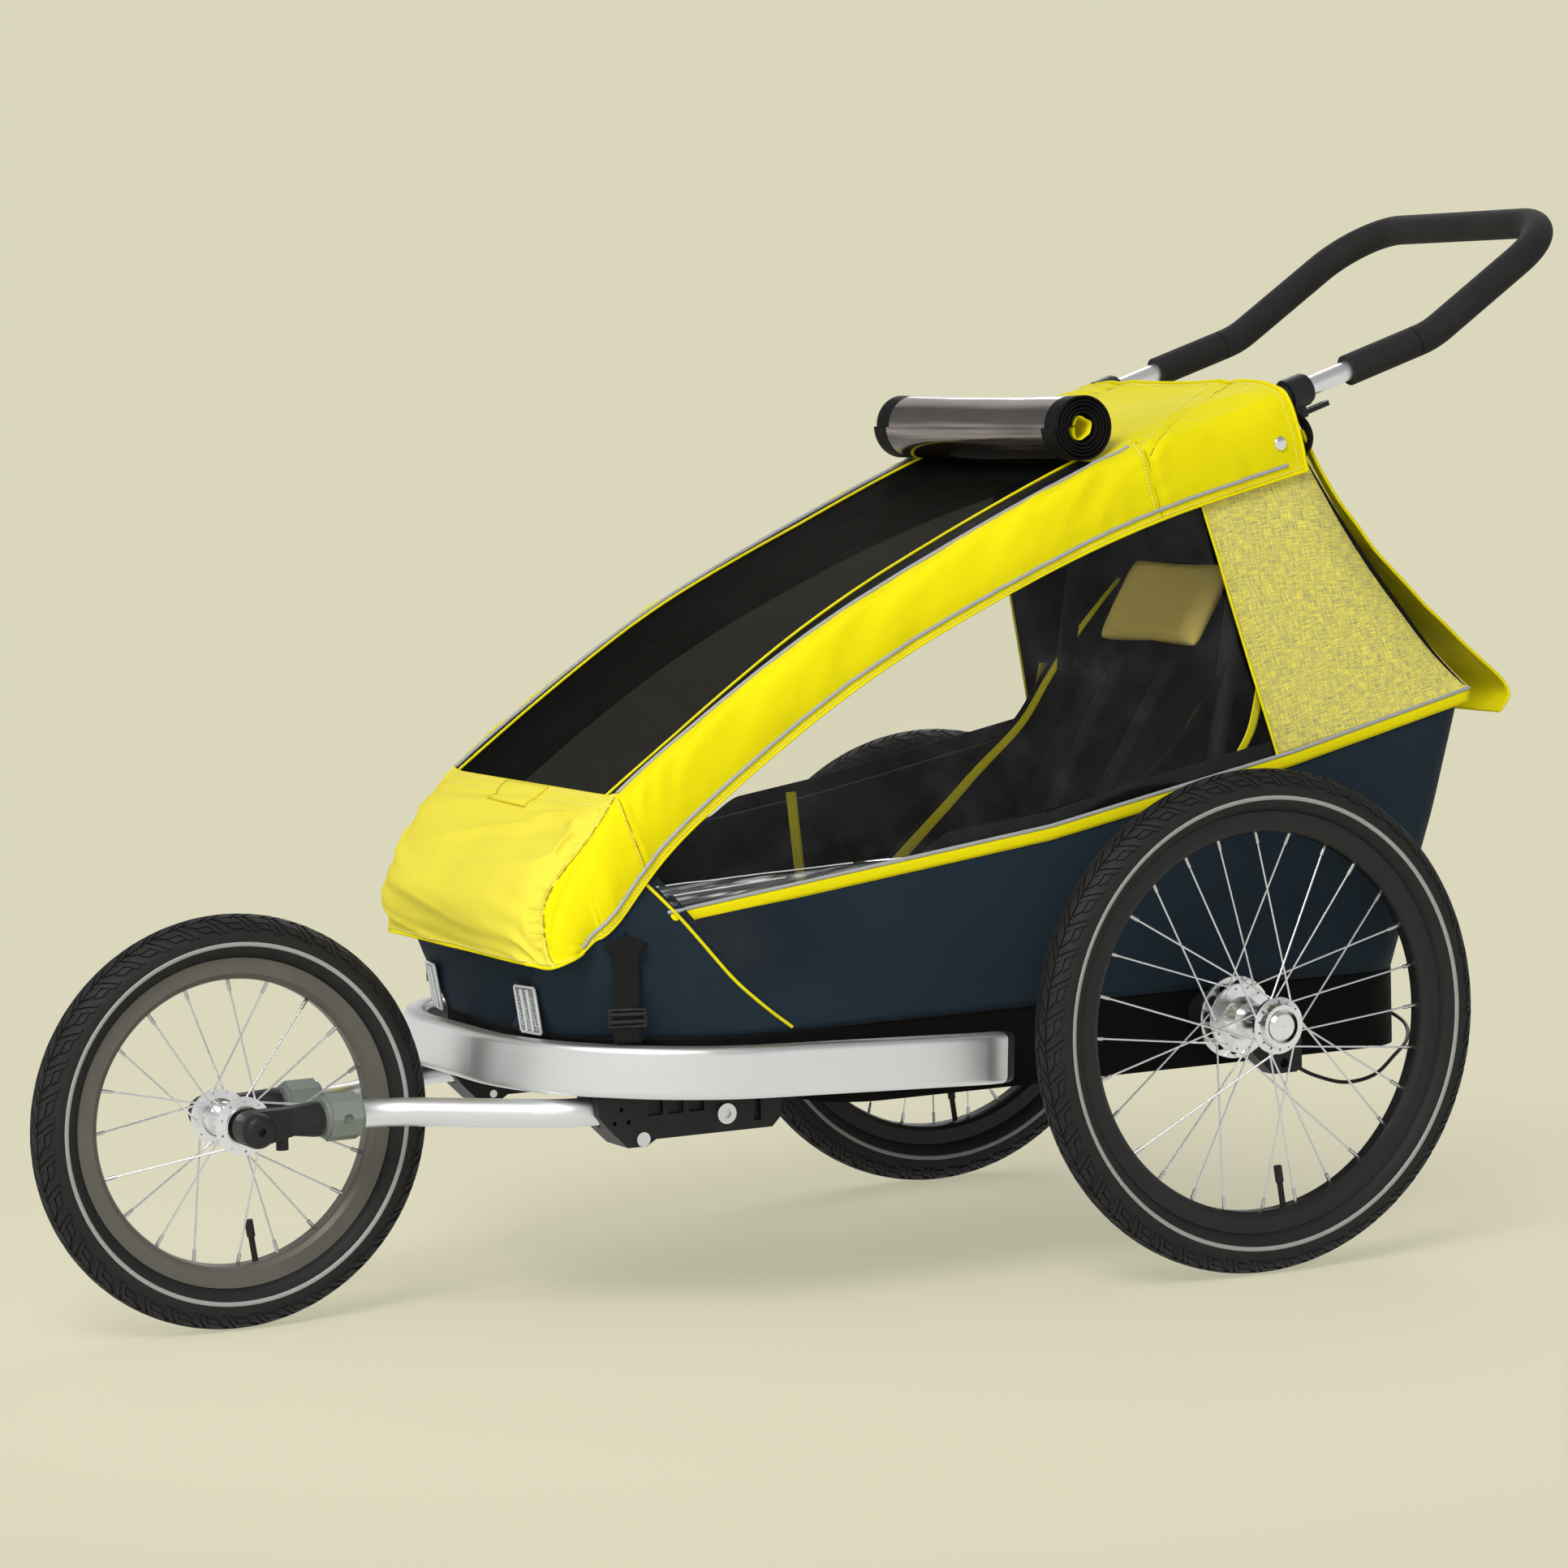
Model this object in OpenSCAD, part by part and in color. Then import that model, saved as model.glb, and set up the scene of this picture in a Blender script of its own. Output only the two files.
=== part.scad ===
// Child bicycle trailer with push bar and front jogger wheel.
// Millimetres, +X forward, +Y left, +Z up; the wheels stand on z = 0.

/* [Wheels] */
// Outer radius of the two rear tyres
rear_r = 250; // [245:1:255]
// Outer radius of the front tyre
front_r = 200; // [195:1:205]
// Width of every tyre
tyre_w = 47; // [44:1:50]
// Distance between the middle planes of the rear wheels
track = 660; // [650:2:680]
// Distance from the rear axle to the front axle
wheelbase = 952; // [940:2:970]
// Spokes in each rear wheel
rear_spokes = 28; // [20:4:36]
// Spokes in the front wheel
front_spokes = 20; // [16:4:28]
// Diameter of a spoke
spoke_d = 2; // [1.8:0.1:2.4]

/* [Frame] */
// Outer diameter of the base frame tubes
base_d = 28; // [26:1:30]
// Half distance between the side rails of the base frame
rail_y = 205; // [202:1:206]
// Half distance between the two roof tubes
roof_y = 184; // [182:1:185]
// Outer diameter of the roof tubes
roof_d = 24; // [23:1:25]
// Outer diameter of the jogger arms
arm_d = 28; // [26:1:28]

/* [Push bar] */
// Outer diameter of the push bar tube
bar_d = 20; // [18:1:20]
// Outer diameter of the foam grip
foam_d = 32; // [30:1:34]
// Slope of the push bar legs, in degrees
leg_slope = 18; // [17:0.5:19]
// Slope of the push bar loop, in degrees
loop_slope = 34; // [30:1:38]
// Radius of the push bar's corners
loop_r = 72; // [64:1:80]

/* [Bumper] */
// Height of the bumper section
bumper_h = 50; // [46:1:54]
// Thickness of the bumper section
bumper_t = 24; // [20:1:26]
// Radius of the bumper's front corners, to the middle of its section
bumper_r = 203; // [190:1:210]

/* [Fabric] */
// Thickness of the cover and tub fabric
cloth_t = 2.4; // [2:0.1:3]
// Half width of the tub at its widest
tub_y = 242; // [240:1:244]
// Radius of the rolled rain cover
roll_r = 33; // [30:1:33]

/* [Hidden] */
$fn = 48;
run_gap = 0.05;
near_gap = 0.4;
// Straights lap into the bends, which are drawn a little thinner, so that every joint of a tube closes;
// bends that show are drawn only a hair thinner.
lap = 0.5;
bend_thin = 0.3;
bend_hair = 0.03;
arm_thin = 0.2;

// Where things stand, measured from the rear axle; the whole is shifted so that its box is centred on x = 0.
bar_end = [-157, 865];
leg_reach = 156;
loop_leg = 117;
leg_bend_r = 110;
leg_dir = [-cos(leg_slope), sin(leg_slope)];
loop_dir = [-cos(loop_slope), sin(loop_slope)];
leg_top = bar_end + leg_reach * leg_dir;
loop_foot = leg_top + leg_bend_r * [sin(leg_slope) - sin(loop_slope), cos(leg_slope) - cos(loop_slope)];
loop_top = loop_foot + loop_leg * loop_dir;
cross_at = loop_top + loop_r * loop_dir;
handle_reach = -cross_at.x + foam_d / 2;
axle_x = -(wheelbase + front_r - handle_reach) / 2;
half_track = track / 2;

// Wheel sections: bead seat, rim top and rim inside, measured in from the tyre's outer radius.
bead_in = 47;
rim_top_in = 41;
rim_inside_in = 62;
rim_w = 25;
tyre_wall = 3;
axle_r = 6;
front_axle_r = 5;
bearing_r = 14;
bearing_w = 8;
hub_in = 30;
hub_out = 36;
hub_in_r = 34.5;
hub_out_r = 28;
front_flange = 33;
disc_y = -44;
disc_t = 5;
disc_r = 41;
pin_circle = 32;
pin_r = 4.5;
pin_slots = 12;
pin_angle = 215;
pin_at = [pin_circle * cos(pin_angle), rear_r + pin_circle * sin(pin_angle)];
hub_button_r = 15;

// Base frame: height of its tubes and the x of its cross tubes.
base_z = 246;
base_r = base_d / 2;
base_bend = 45;
cross_r = 11;
rear_x = -232;
axle_tube_x = -75;
seat_tube_x = 330;
nose_x = 640;
nose_y = 165;
shoulder_x = 430;
function rail_at(x) = rail_y + (x - shoulder_x) * (nose_y - rail_y) / (nose_x - shoulder_x);
// Rounds of the lower tub's outline: x, y and radius.
tray_rear = [-192, 176, 60];
tray_step = [370, 176, 60];
tray_nose = [498, 58, 184];
housing_r = 21;

// Roof tube: straight rear end, long arc, tight front bend and straight leg down to the pivot.
roof_r = roof_d / 2;
roof_straight = 165;
roof_arc_r = 2035;
roof_arc_end = 38;
front_bend_r = 85;
roof_link = 4;
foot_slope = 115;
pivot_z = 275;
function down(a) = [cos(a), -sin(a)];
function up_normal(a) = [sin(a), cos(a)];
arc_from = bar_end + roof_straight * down(leg_slope);
arc_c = arc_from - roof_arc_r * up_normal(leg_slope);
arc_to = arc_c + roof_arc_r * up_normal(roof_arc_end);
bend_from = arc_to + roof_link * down(roof_arc_end);
bend_c = bend_from - front_bend_r * up_normal(roof_arc_end);
bend_to = bend_c + front_bend_r * up_normal(foot_slope);
pivot = bend_to + (bend_to.y - pivot_z) / sin(foot_slope) * down(foot_slope);

// Rear uprights: hinge at the roof, foot bar on the base.
hinge = [-118, 812];
hinge_pin_r = 5;
foot = [-30, 275];
upright_y = 160;
upright_r = 10;
eye_r = 12;
eye_half = 6;

// Tub outline, front to rear on the left side: x, half width, corner radius.
tub_low = [[682, 242, 184], [490, 242, 0], [470, 241, 0], [180, tub_y - 4, 0], [-100, tub_y - 4, 0],
    [-250, tub_y - 4, 60]];
tub_high = [[694, 207, 40], [612, 209, 0], [580, 216, 0], [180, tub_y, 0], [-100, tub_y + 2, 0],
    [-335, tub_y - 2, 50]];
tub_floor = 272;
belt = [[-335, 559], [-100, 503], [180, 448], [585, 392]];
corner_steps = 5;

// Cover stations, rear to nose: lower edge, upper edge of the side band and middle line, each x and z.
low_edge = [[-157, 788], [30, 742], [200, 680], [382, 591], [560, 472], [640, 404], [690, 366], [698, 352]];
top_edge = [[-137, 872], [46, 816], [226, 741], [414, 648], [600, 525], [656, 470], [694, 404], [702, 362]];
mid_line = [[-137, 876], [50, 820], [230, 744], [416, 652], [602, 524], [672, 470], [724, 404], [714, 350]];
cover_steps = 4;
band_y = 214;
band_top_y = 190;
mesh_y = 166;
mesh_from = 1.25;
mesh_to = 4;
roll_at = [99, 837];
roll_half = 186;

// Side window and rear panel edges, in order from the belt up: x at the belt, x at the roof.
window_front = [572, 604];
window_rear = [-84, -20];
panel_rear = [[-336, 556], [-272, 624], [-205, 712], [-152, 800]];
flap_line = [[-152, 826], [-196, 746], [-250, 682], [-330, 603], [-382, 552], [-366, 530]];

// Front arms, receivers and dropouts.
arm_y = 172;
arm_z = 203;
fork_y = 52;
arm_turn = 42;
arm_bend_r = 80;
arm_fork = 842;
receiver_x = [461, 656];
receiver_z = [174, 226];
receiver_w = 48;
arm_tail = 512;
arm_nose = 880;
boss_x = [500, 600];
bolt_circle = 17;
bolt_hole_r = 2.2;
bolt_x = 632;
bolt_z = 197;

// Bumper: middle of its section on the centre line, side line and tilt.
bumper_x = 716;
bumper_low = 203;
bumper_tilt = 2.6;
bumper_ref = 250;
bumper_flat = 60;
bumper_toe = 1.5;
bumper_side = 235;
bumper_tail_r = 60;
bumper_tail = 22;

// Brake cable of the left side: from the brake block, down and back, round the rear corner to the pedal.
cable_r = 2;
cable_sides = 8;
cable_steps = 4;
cable_route = [[-87, 262, 190], [-110, 264, 178], [-145, 266, 168], [-182, 264, 172], [-212, 256, 188],
    [-242, 236, 200], [-262, 202, 212], [-268, 150, 222], [-268, 95, 232], [-266, 50, 240]];
pedal_at = [-262, 240];

// A point of the side plane at a given y.
function side(p, y) = [p.x, y, p.y];

// Smooth curve through points, t counted in points.
function spline(p, t) = let(
    last = len(p) - 1,
    i = min(floor(t), last - 1),
    f = t - i,
    a = p[max(i - 1, 0)],
    b = p[i],
    c = p[i + 1],
    d = p[min(i + 2, last)])
    b + 0.5 * f * (c - a) + f * f * (a - 2.5 * b + 2 * c - 0.5 * d) + 0.5 * f * f * f * (3 * (b - c) + d - a);

// Straight tube between two points.
module rod(a, b, r) {
    d = b - a;
    translate(a) rotate([0, acos(d.z / norm(d)), atan2(d.y, d.x)]) cylinder(h = norm(d), r = r);
}

// Straight tube that laps into a bend at either end.
module lapped(a, b, r) {
    d = lap * (b - a) / norm(b - a);
    rod(a - d, b + d, r);
}

// Curved tube in an upright plane along X: centre [x, z], angles from +X towards +Z.
module upright_bend(c, bend, from, to, r) {
    translate([c.x, 0, c.y]) rotate([90, 0, 0]) rotate([0, 0, from])
        rotate_extrude(angle = to - from) translate([bend, 0]) circle(r - bend_thin);
}

// Curved tube in a level plane: centre [x, y], start angle and turn.
module level_bend(c, bend, from, turn, r, thin = bend_thin) {
    translate([c.x, c.y, 0]) rotate([0, 0, from])
        rotate_extrude(angle = turn) translate([bend, 0]) circle(r - thin);
}

// Closed loop of tube through level corners, all turning left, each with the same bend.
module tube_loop(p, bend, r) {
    n = len(p);
    ahead = function(i) let(d = p[(i + 1) % n] - p[i % n]) d / norm(d);
    set_back = function(i) bend * tan(acos(ahead(i + n - 1) * ahead(i)) / 2);
    for (i = [0 : n - 1]) {
        u = ahead(i + n - 1);
        v = ahead(i);
        centre = p[i] - set_back(i) * u + bend * [-u.y, u.x];
        level_bend(centre, bend, atan2(-u.x, u.y), acos(u * v), r);
        a = p[i] + set_back(i) * v;
        b = p[(i + 1) % n] - set_back(i + 1) * v;
        lapped([a.x, a.y, 0], [b.x, b.y, 0], r);
    }
}

// Disc or drum along Y between two values of y, at [x, z].
module drum(at, y0, y1, r) {
    translate([at.x, min(y0, y1), at.y]) rotate([-90, 0, 0]) cylinder(h = abs(y1 - y0), r = r);
}

// Solid of revolution about Y: the profile gives radius and place along +Y.
module spin_y() rotate([-90, 0, 0]) rotate_extrude() children();

// The same thing on the left and on the right.
module both() {
    children();
    mirror([0, 1, 0]) children();
}

// Plate or block between two corners.
module block(low, high) translate(low) cube(high - low);

// Closed skin between two grids of points; cells that keep() refuses are left open.
module skin(p, q, ring = false, keep = function(i, j) true) {
    rows = len(p);
    cols = len(p[0]);
    cells = ring ? rows : rows - 1;
    row = function(i) (i + rows) % rows;
    on = function(i, j) j >= 0 && j < cols - 1 && (ring || (i >= 0 && i < cells)) && keep(row(i), j);
    at = function(i, j, back) row(i) * cols + j + (back ? rows * cols : 0);
    quad = function(a, b, c, d) [[a, b, c], [a, c, d]];
    faces = [for (i = [0 : cells - 1]) for (j = [0 : cols - 2]) if (on(i, j))
        let(a = at(i, j, false), b = at(i + 1, j, false),
            c = at(i + 1, j + 1, false), d = at(i, j + 1, false),
            e = at(i, j, true), f = at(i + 1, j, true), g = at(i + 1, j + 1, true), h = at(i, j + 1, true))
        each concat(quad(a, d, c, b), quad(e, f, g, h),
            on(i, j - 1) ? [] : quad(a, b, f, e),
            on(i, j + 1) ? [] : quad(c, d, h, g),
            on(i - 1, j) ? [] : quad(d, a, e, h),
            on(i + 1, j) ? [] : quad(b, c, g, f))];
    polyhedron([for (r = p) each r, for (r = q) each r], faces);
}

// Grid moved along its own normals.
function pushed(p, t, ring = false) = let(rows = len(p), cols = len(p[0]))
    [for (i = [0 : rows - 1]) [for (j = [0 : cols - 1]) let(
        after = ring ? p[(i + 1) % rows][j] : p[min(i + 1, rows - 1)][j],
        before = ring ? p[(i + rows - 1) % rows][j] : p[max(i - 1, 0)][j],
        n = cross(after - before, p[i][min(j + 1, cols - 1)] - p[i][max(j - 1, 0)]))
        p[i][j] + t * n / norm(n)]];

// Sheet of cloth from the grid of its outer face.
module cloth(p, ring = false, keep = function(i, j) true) {
    skin(p, pushed(p, -cloth_t, ring), ring, keep);
}

// Crowned pad: length along X, width along Y, thickness along Z, with sewn channels across its length.
module pad(length, width, thick, channels) {
    rows = 16;
    cols = 12;
    crown = function(u, v) pow(max(0, 1 - pow(abs(u), 6)), 0.5) * pow(max(0, 1 - pow(abs(v), 6)), 0.5);
    groove = function(u) channels == 0 ? 1 : 0.82 + 0.18 * abs(sin(90 * channels * (u + 1)));
    draw = function(w) 1 - 0.04 * cos(90 * w);
    face = function(s) [for (i = [0 : rows]) [for (j = [0 : cols])
        let(u = 2 * i / rows - 1, v = 2 * j / cols - 1)
        [u * length / 2 * draw(v), v * width / 2 * draw(u),
            s * thick / 2 * (0.14 + 0.86 * crown(u, v) * (s > 0 ? groove(u) : 1))]]];
    skin(face(1), face(-1));
}

// Tube swept along a route of points.
module cable(route) {
    last = (len(route) - 1) * cable_steps;
    line = [for (k = [0 : last]) spline(route, k / cable_steps)];
    ring = function(k) let(
        t = line[min(k + 1, last)] - line[max(k - 1, 0)],
        n = t / norm(t),
        u = cross(n, [0, 0, 1]) / norm(cross(n, [0, 0, 1])),
        w = cross(u, n))
        [for (s = [0 : cable_sides - 1]) let(a = 360 * s / cable_sides)
            line[k] + cable_r * (cos(a) * u + sin(a) * w)];
    points = [for (k = [0 : last]) each ring(k)];
    walls = [for (k = [0 : last - 1]) for (s = [0 : cable_sides - 1]) let(
        a = k * cable_sides + s,
        b = k * cable_sides + (s + 1) % cable_sides,
        c = b + cable_sides,
        d = a + cable_sides)
        each [[a, b, c], [a, c, d]]];
    caps = [[for (s = [cable_sides - 1 : -1 : 0]) s],
        [for (s = [0 : cable_sides - 1]) last * cable_sides + s]];
    polyhedron(points, concat(walls, caps));
}

// Base frame: a closed loop of tube with two cross tubes, tabs for the bumper, ears for roof and pedal.
module base_frame() {
    loop = [[rear_x, -rail_y], [shoulder_x, -rail_y], [nose_x, -nose_y], [nose_x, nose_y],
        [shoulder_x, rail_y], [rear_x, rail_y]];
    color("dimgray") {
        translate([0, 0, base_z]) tube_loop(loop, base_bend, base_r);
        for (x = [axle_tube_x, seat_tube_x])
            rod([x, -rail_y, base_z], [x, rail_y, base_z], cross_r);
        both() {
            bumper_tabs();
            roof_ears();
            foot_saddle();
            pedal_ear();
        }
        drum(pedal_at, -44, 44, hinge_pin_r);
    }
}

// Flat tabs that carry the bumper, at its front and along its side.
module bumper_tabs() {
    block([nose_x, 60, base_z - 6], [bumper_x - bumper_t / 2 - 3, 80, base_z + 2]);
    block([395, rail_y, base_z - 14], [425, bumper_inner(410), base_z - 6]);
    block([290, rail_y, base_z - 14], [320, bumper_inner(305), base_z - 6]);
}

// Inside face of the bumper's side at a given x.
function bumper_inner(x) = bumper_flat + bumper_r * cos(bumper_toe) - bumper_t / 2
    + (x - bumper_x + bumper_r) * tan(bumper_toe) - 0.3;

// Clevis for one foot of the roof hoop.
module roof_ears() {
    difference() {
        union() {
            block([pivot.x - 12, nose_y, base_z + 6], [pivot.x + 12, roof_y + 9.9, base_z + base_r + 1.8]);
            for (y = [roof_y - eye_half - 3.9, roof_y + eye_half + 0.4])
                block([pivot.x - 10, y, base_z + 8], [pivot.x + 10, y + 3.5, pivot.y + 10]);
        }
        drum(pivot, roof_y - 20, roof_y + 20, hinge_pin_r);
    }
}

// Sloped rest behind and below the foot bar of the uprights.
module foot_saddle() {
    slope = 40;
    reach = upright_r + near_gap;
    contact = foot - reach * [sin(slope), cos(slope)];
    difference() {
        translate([0, 132, 0]) rotate([90, 0, 0]) linear_extrude(24) polygon([
            [axle_tube_x - 4, base_z], contact + [-30, 26], contact + 12 * [-cos(slope), sin(slope)],
            contact + 8 * [cos(slope), -sin(slope)], contact + [2, -14], [axle_tube_x + 10, base_z - 4]]);
        drum(foot, 100, 140, reach);
    }
}

// Ear for the brake pedal's pivot.
module pedal_ear() block([pedal_at.x - 8, 32, base_z - 14], [rear_x, 36, base_z + 6]);

// Outline of the lower tub: a round at the rear and a round in front on either side, grown by a margin.
module tray_shape(rear, front, grow) {
    hull() both() for (c = [rear, front])
        translate([c.x, c.y]) circle(c.z + grow, $fn = 48);
}

// Black lower tub: deep under the seat, shallow under the footwell, open on top,
// cut round what passes through it.
module floor_tray() {
    deep = 195;
    shallow = 228;
    wall = 3;
    color([0.08, 0.08, 0.09]) difference() {
        union() {
            translate([0, 0, deep]) linear_extrude(tub_floor - deep) tray_shape(tray_rear, tray_step, 0);
            translate([0, 0, shallow]) linear_extrude(tub_floor - shallow)
                tray_shape(tray_step, tray_nose, 0);
        }
        translate([0, 0, deep + wall]) linear_extrude(tub_floor) tray_shape(tray_rear, tray_step, -wall);
        translate([0, 0, shallow + wall]) linear_extrude(tub_floor) tray_shape(tray_step, tray_nose, -wall);
        both() {
            block([nose_x, 58, base_z - 8], [bumper_x, 82, base_z + 4]);
            block([393, rail_y, base_z - 16], [427, bumper_x, base_z - 4]);
            block([288, rail_y, base_z - 16], [322, bumper_x, base_z - 4]);
            block([rear_x - 40, 30, base_z - 18], [rear_x, 38, base_z + 8]);
            drum([0, rear_r], rail_y, half_track, housing_r + 0.5);
            for (x = boss_x)
                translate([x, rail_at(x), 220]) cylinder(h = 14, r = 8.4);
        }
    }
}

// Rounded section of the bumper bar.
module bumper_section(thin = 0) {
    r = 7;
    t = bumper_t - 2 * thin;
    h = bumper_h - 2 * thin;
    square([t - 2 * r, h], center = true);
    square([t, h - 2 * r], center = true);
    for (x = [-1, 1]) for (y = [-1, 1])
        translate([x * (t / 2 - r), y * (h / 2 - r)]) circle(r);
}

// Places the bumper's own plane: level drawing, tilted up towards the front.
module bumper_plane() {
    translate([bumper_ref, 0, bumper_low + bumper_h / 2]) rotate([0, -bumper_tilt, 0])
        translate([-bumper_ref, 0, 0]) children();
}

// End of the straight side of the bumper, with its heading.
bumper_corner = [bumper_x - bumper_r, bumper_flat];
side_from = bumper_corner + bumper_r * [-sin(bumper_toe), cos(bumper_toe)];
side_to = side_from + bumper_side * [-cos(bumper_toe), -sin(bumper_toe)];
tail_c = side_to + bumper_tail_r * [sin(bumper_toe), -cos(bumper_toe)];

// Silver bar round the front and along both sides, its tails turned in.
module bumper_bar() {
    color("silver") bumper_plane() {
        translate([bumper_x, -bumper_flat - lap, 0]) rotate([-90, 0, 0])
            linear_extrude(2 * bumper_flat + 2 * lap) bumper_section();
        both() {
            translate(concat(bumper_corner, 0)) rotate_extrude(angle = 90 + bumper_toe)
                translate([bumper_r, 0]) bumper_section(bend_hair);
            translate(concat(side_to, 0)) rotate([0, 0, bumper_toe])
                translate([-lap, 0, 0]) rotate([90, 0, 90])
                linear_extrude(bumper_side + 2 * lap) bumper_section();
            translate(concat(tail_c, 0)) rotate([0, 0, 90 + bumper_toe]) rotate_extrude(angle = bumper_tail)
                translate([bumper_tail_r, 0]) bumper_section(bend_hair);
        }
    }
}

// Black plugs on the bumper's tails.
module bumper_end_caps() {
    color([0.06, 0.06, 0.07]) bumper_plane() both()
        translate(concat(tail_c, 0)) rotate([0, 0, 90 + bumper_toe + bumper_tail]) rotate_extrude(angle = 10)
            translate([bumper_tail_r, 0]) bumper_section(bend_hair);
}

// Half outline of the tub from its corners, front middle to rear middle.
function half_outline(c) = [for (k = [0 : len(c) - 1]) let(
    r = c[k].z,
    front = k == 0)
    each r == 0 ? [[c[k].x, c[k].y]]
    : [for (s = [0 : corner_steps]) let(a = front ? 90 * s / corner_steps : 90 + 90 * s / corner_steps)
        [c[k].x + (front ? -r : r) + r * cos(a), c[k].y - r + r * sin(a)]]];

// Whole outline, closed, left side then right side.
function outline(c) = let(h = half_outline(c))
    concat(h, [for (k = [len(h) - 1 : -1 : 0]) [h[k].x, -h[k].y]]);

// Top of the tub at a given x: the belt on the sides, tucked under the nose in front.
function rim_z(x) = x > 590 ? min(430, 452 - 0.75 * (x - 590)) : lookup(x, belt);

// Navy tub wall, a closed ring that leans out to the belt.
module tub_fabric() {
    low = outline(tub_low);
    high = outline(tub_high);
    levels = 5;
    grid = [for (k = [0 : len(low) - 1]) [for (j = [levels : -1 : 0]) let(
        f = j / levels,
        bulge = 3 * sin(180 * f),
        p = low[k] + f * (high[k] - low[k]),
        top = rim_z(high[k].x) - 0.6)
        [p.x, p.y + sign(p.y) * bulge, tub_floor + 1.2 + f * (top - tub_floor)]]];
    color([0.10, 0.14, 0.2]) cloth(grid, true);
}

// Lower edge of the cover at t stations.
function low_at(t) = spline(low_edge, t);

// Station of the lower edge at a given x, by halving.
function low_t(x, a = 0, b = 7, n = 14) = n == 0 ? (a + b) / 2
    : low_at((a + b) / 2).x < x ? low_t(x, (a + b) / 2, b, n - 1) : low_t(x, a, (a + b) / 2, n - 1);
function low_z(x) = low_at(low_t(x)).y;

// Section of the cover from the left lower edge to the middle: share from low to top edge, half width,
// share to middle.
cover_section = [[0, band_y, 0], [0.35, band_y + 2, 0], [0.7, band_y - 2, 0], [0.93, band_y - 10, 0],
    [1, band_top_y, 0], [1, 178, 0.5], [1, 168, 0.75], [1, 140, 0.93], [1, 70, 1]];

// Point of the cover at station t and section place c, on side s.
function cover_point(t, c, s) = let(
    l = spline(low_edge, t),
    u = spline(top_edge, t),
    m = spline(mid_line, t),
    p = l + c.x * (u - l) + c.z * (m - u),
    nose = max(0, min(1, t - 5)))
    [p.x, s * (c.y - 8 * nose * (c.y > 170 ? 1 : 0)), p.y];

// Yellow roof cover in one piece: nose, side bands and rear roof, open where the mesh goes.
module canopy_cover() {
    last = (len(low_edge) - 1) * cover_steps;
    places = len(cover_section);
    inner_edge = 6;
    grid = [for (i = [0 : last]) let(t = i / cover_steps) concat(
        [for (c = cover_section) cover_point(t, c, 1)],
        [cover_point(t, [1, 0, 1], 1)],
        [for (k = [places - 1 : -1 : 0]) cover_point(t, cover_section[k], -1)])];
    open = function(i, j) i >= mesh_from * cover_steps && i < mesh_to * cover_steps
        && j >= inner_edge && j < 2 * places - inner_edge;
    color([0.85, 0.82, 0.1]) cloth(grid, false, function(i, j) !open(i, j));
}

// Black mesh in the cover's opening.
module mesh_screen() {
    rows = 11;
    cols = 6;
    grid = [for (i = [0 : rows]) let(t = mesh_from + 0.01 + (mesh_to - mesh_from - 0.02) * i / rows)
        [for (j = [0 : cols]) let(
            v = 1 - 2 * j / cols,
            p = spline(mid_line, t) + 0.22 * pow(abs(v), 4) * (spline(top_edge, t) - spline(mid_line, t)))
            [p.x, v * mesh_y, p.y - 3 * (1 - v * v)]]];
    color([0.05, 0.05, 0.05]) cloth(grid);
}

// Rain cover, wound up and strapped on top: turns of film round an open core.
module rain_cover_roll() {
    turns = 3;
    film = 3;
    pitch = (roll_r - 14) / turns;
    color([0.35, 0.33, 0.3]) translate([roll_at.x, -roll_half, roll_at.y]) rotate([-90, 0, 0])
        linear_extrude(2 * roll_half)
        polygon(concat(
            [for (a = [0 : 15 : 360 * turns]) (14 + pitch * a / 360) * [cos(a), sin(a)]],
            [for (a = [360 * turns : -15 : 0]) (14 + pitch * a / 360 - film) * [cos(a), sin(a)]]));
}

// Clear side windows between belt and cover.
module side_windows() {
    cols = 10;
    rows = 3;
    grid = [for (i = [0 : cols]) let(
        f = i / cols,
        xl = window_front[0] + f * (window_rear[0] - window_front[0]),
        xu = window_front[1] + f * (window_rear[1] - window_front[1]),
        yl = tub_side_y(xl))
        [for (j = [0 : rows]) let(g = 1 - j / rows)
            [xl + g * (xu - xl), yl + g * (band_y - 6 - yl),
                lookup(xl, belt) + 2 + g * (low_z(xu) + 6 - lookup(xl, belt))]]];
    color([0.75, 0.78, 0.8, 0.4]) both() cloth(grid);
}

// Half width of the tub's top edge at a given x.
function tub_side_y(x) = lookup(x, [for (k = [len(tub_high) - 1 : -1 : 0]) [tub_high[k].x, tub_high[k].y]]);

// Melange panels behind the windows.
module side_panels() {
    cols = 6;
    rows = 5;
    grid = [for (i = [0 : cols]) let(f = i / cols) [for (j = [0 : rows]) let(
        g = 1 - j / rows,
        front = [window_rear[0] - 2 + g * (window_rear[1] - window_rear[0]),
            lookup(window_rear[0], belt) + 2],
        rear = spline(panel_rear, g * (len(panel_rear) - 1)),
        zf = front.y + g * (low_z(window_rear[1]) + 6 - front.y),
        x = front.x + f * (rear.x - front.x),
        z = zf + f * (rear.y - zf))
        [x, tub_y + 1 + g * (band_y - 7 - tub_y), max(z, lookup(x, belt) + 2)]]];
    color([0.62, 0.6, 0.2]) both() cloth(grid);
}

// Yellow flap that closes the rear, from the roof to behind the belt.
module rear_flap() {
    rows = 12;
    cols = 8;
    grid = [for (i = [0 : rows]) let(t = (len(flap_line) - 1) * i / rows, p = spline(flap_line, t))
        [for (j = [0 : cols]) let(v = 1 - 2 * j / cols, half = 196 + 34 * i / rows)
            [p.x - 14 * (1 - v * v) * sin(180 * i / rows), v * half, p.y]]];
    color([0.85, 0.82, 0.1]) cloth([for (k = [rows : -1 : 0]) grid[k]]);
}

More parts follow.
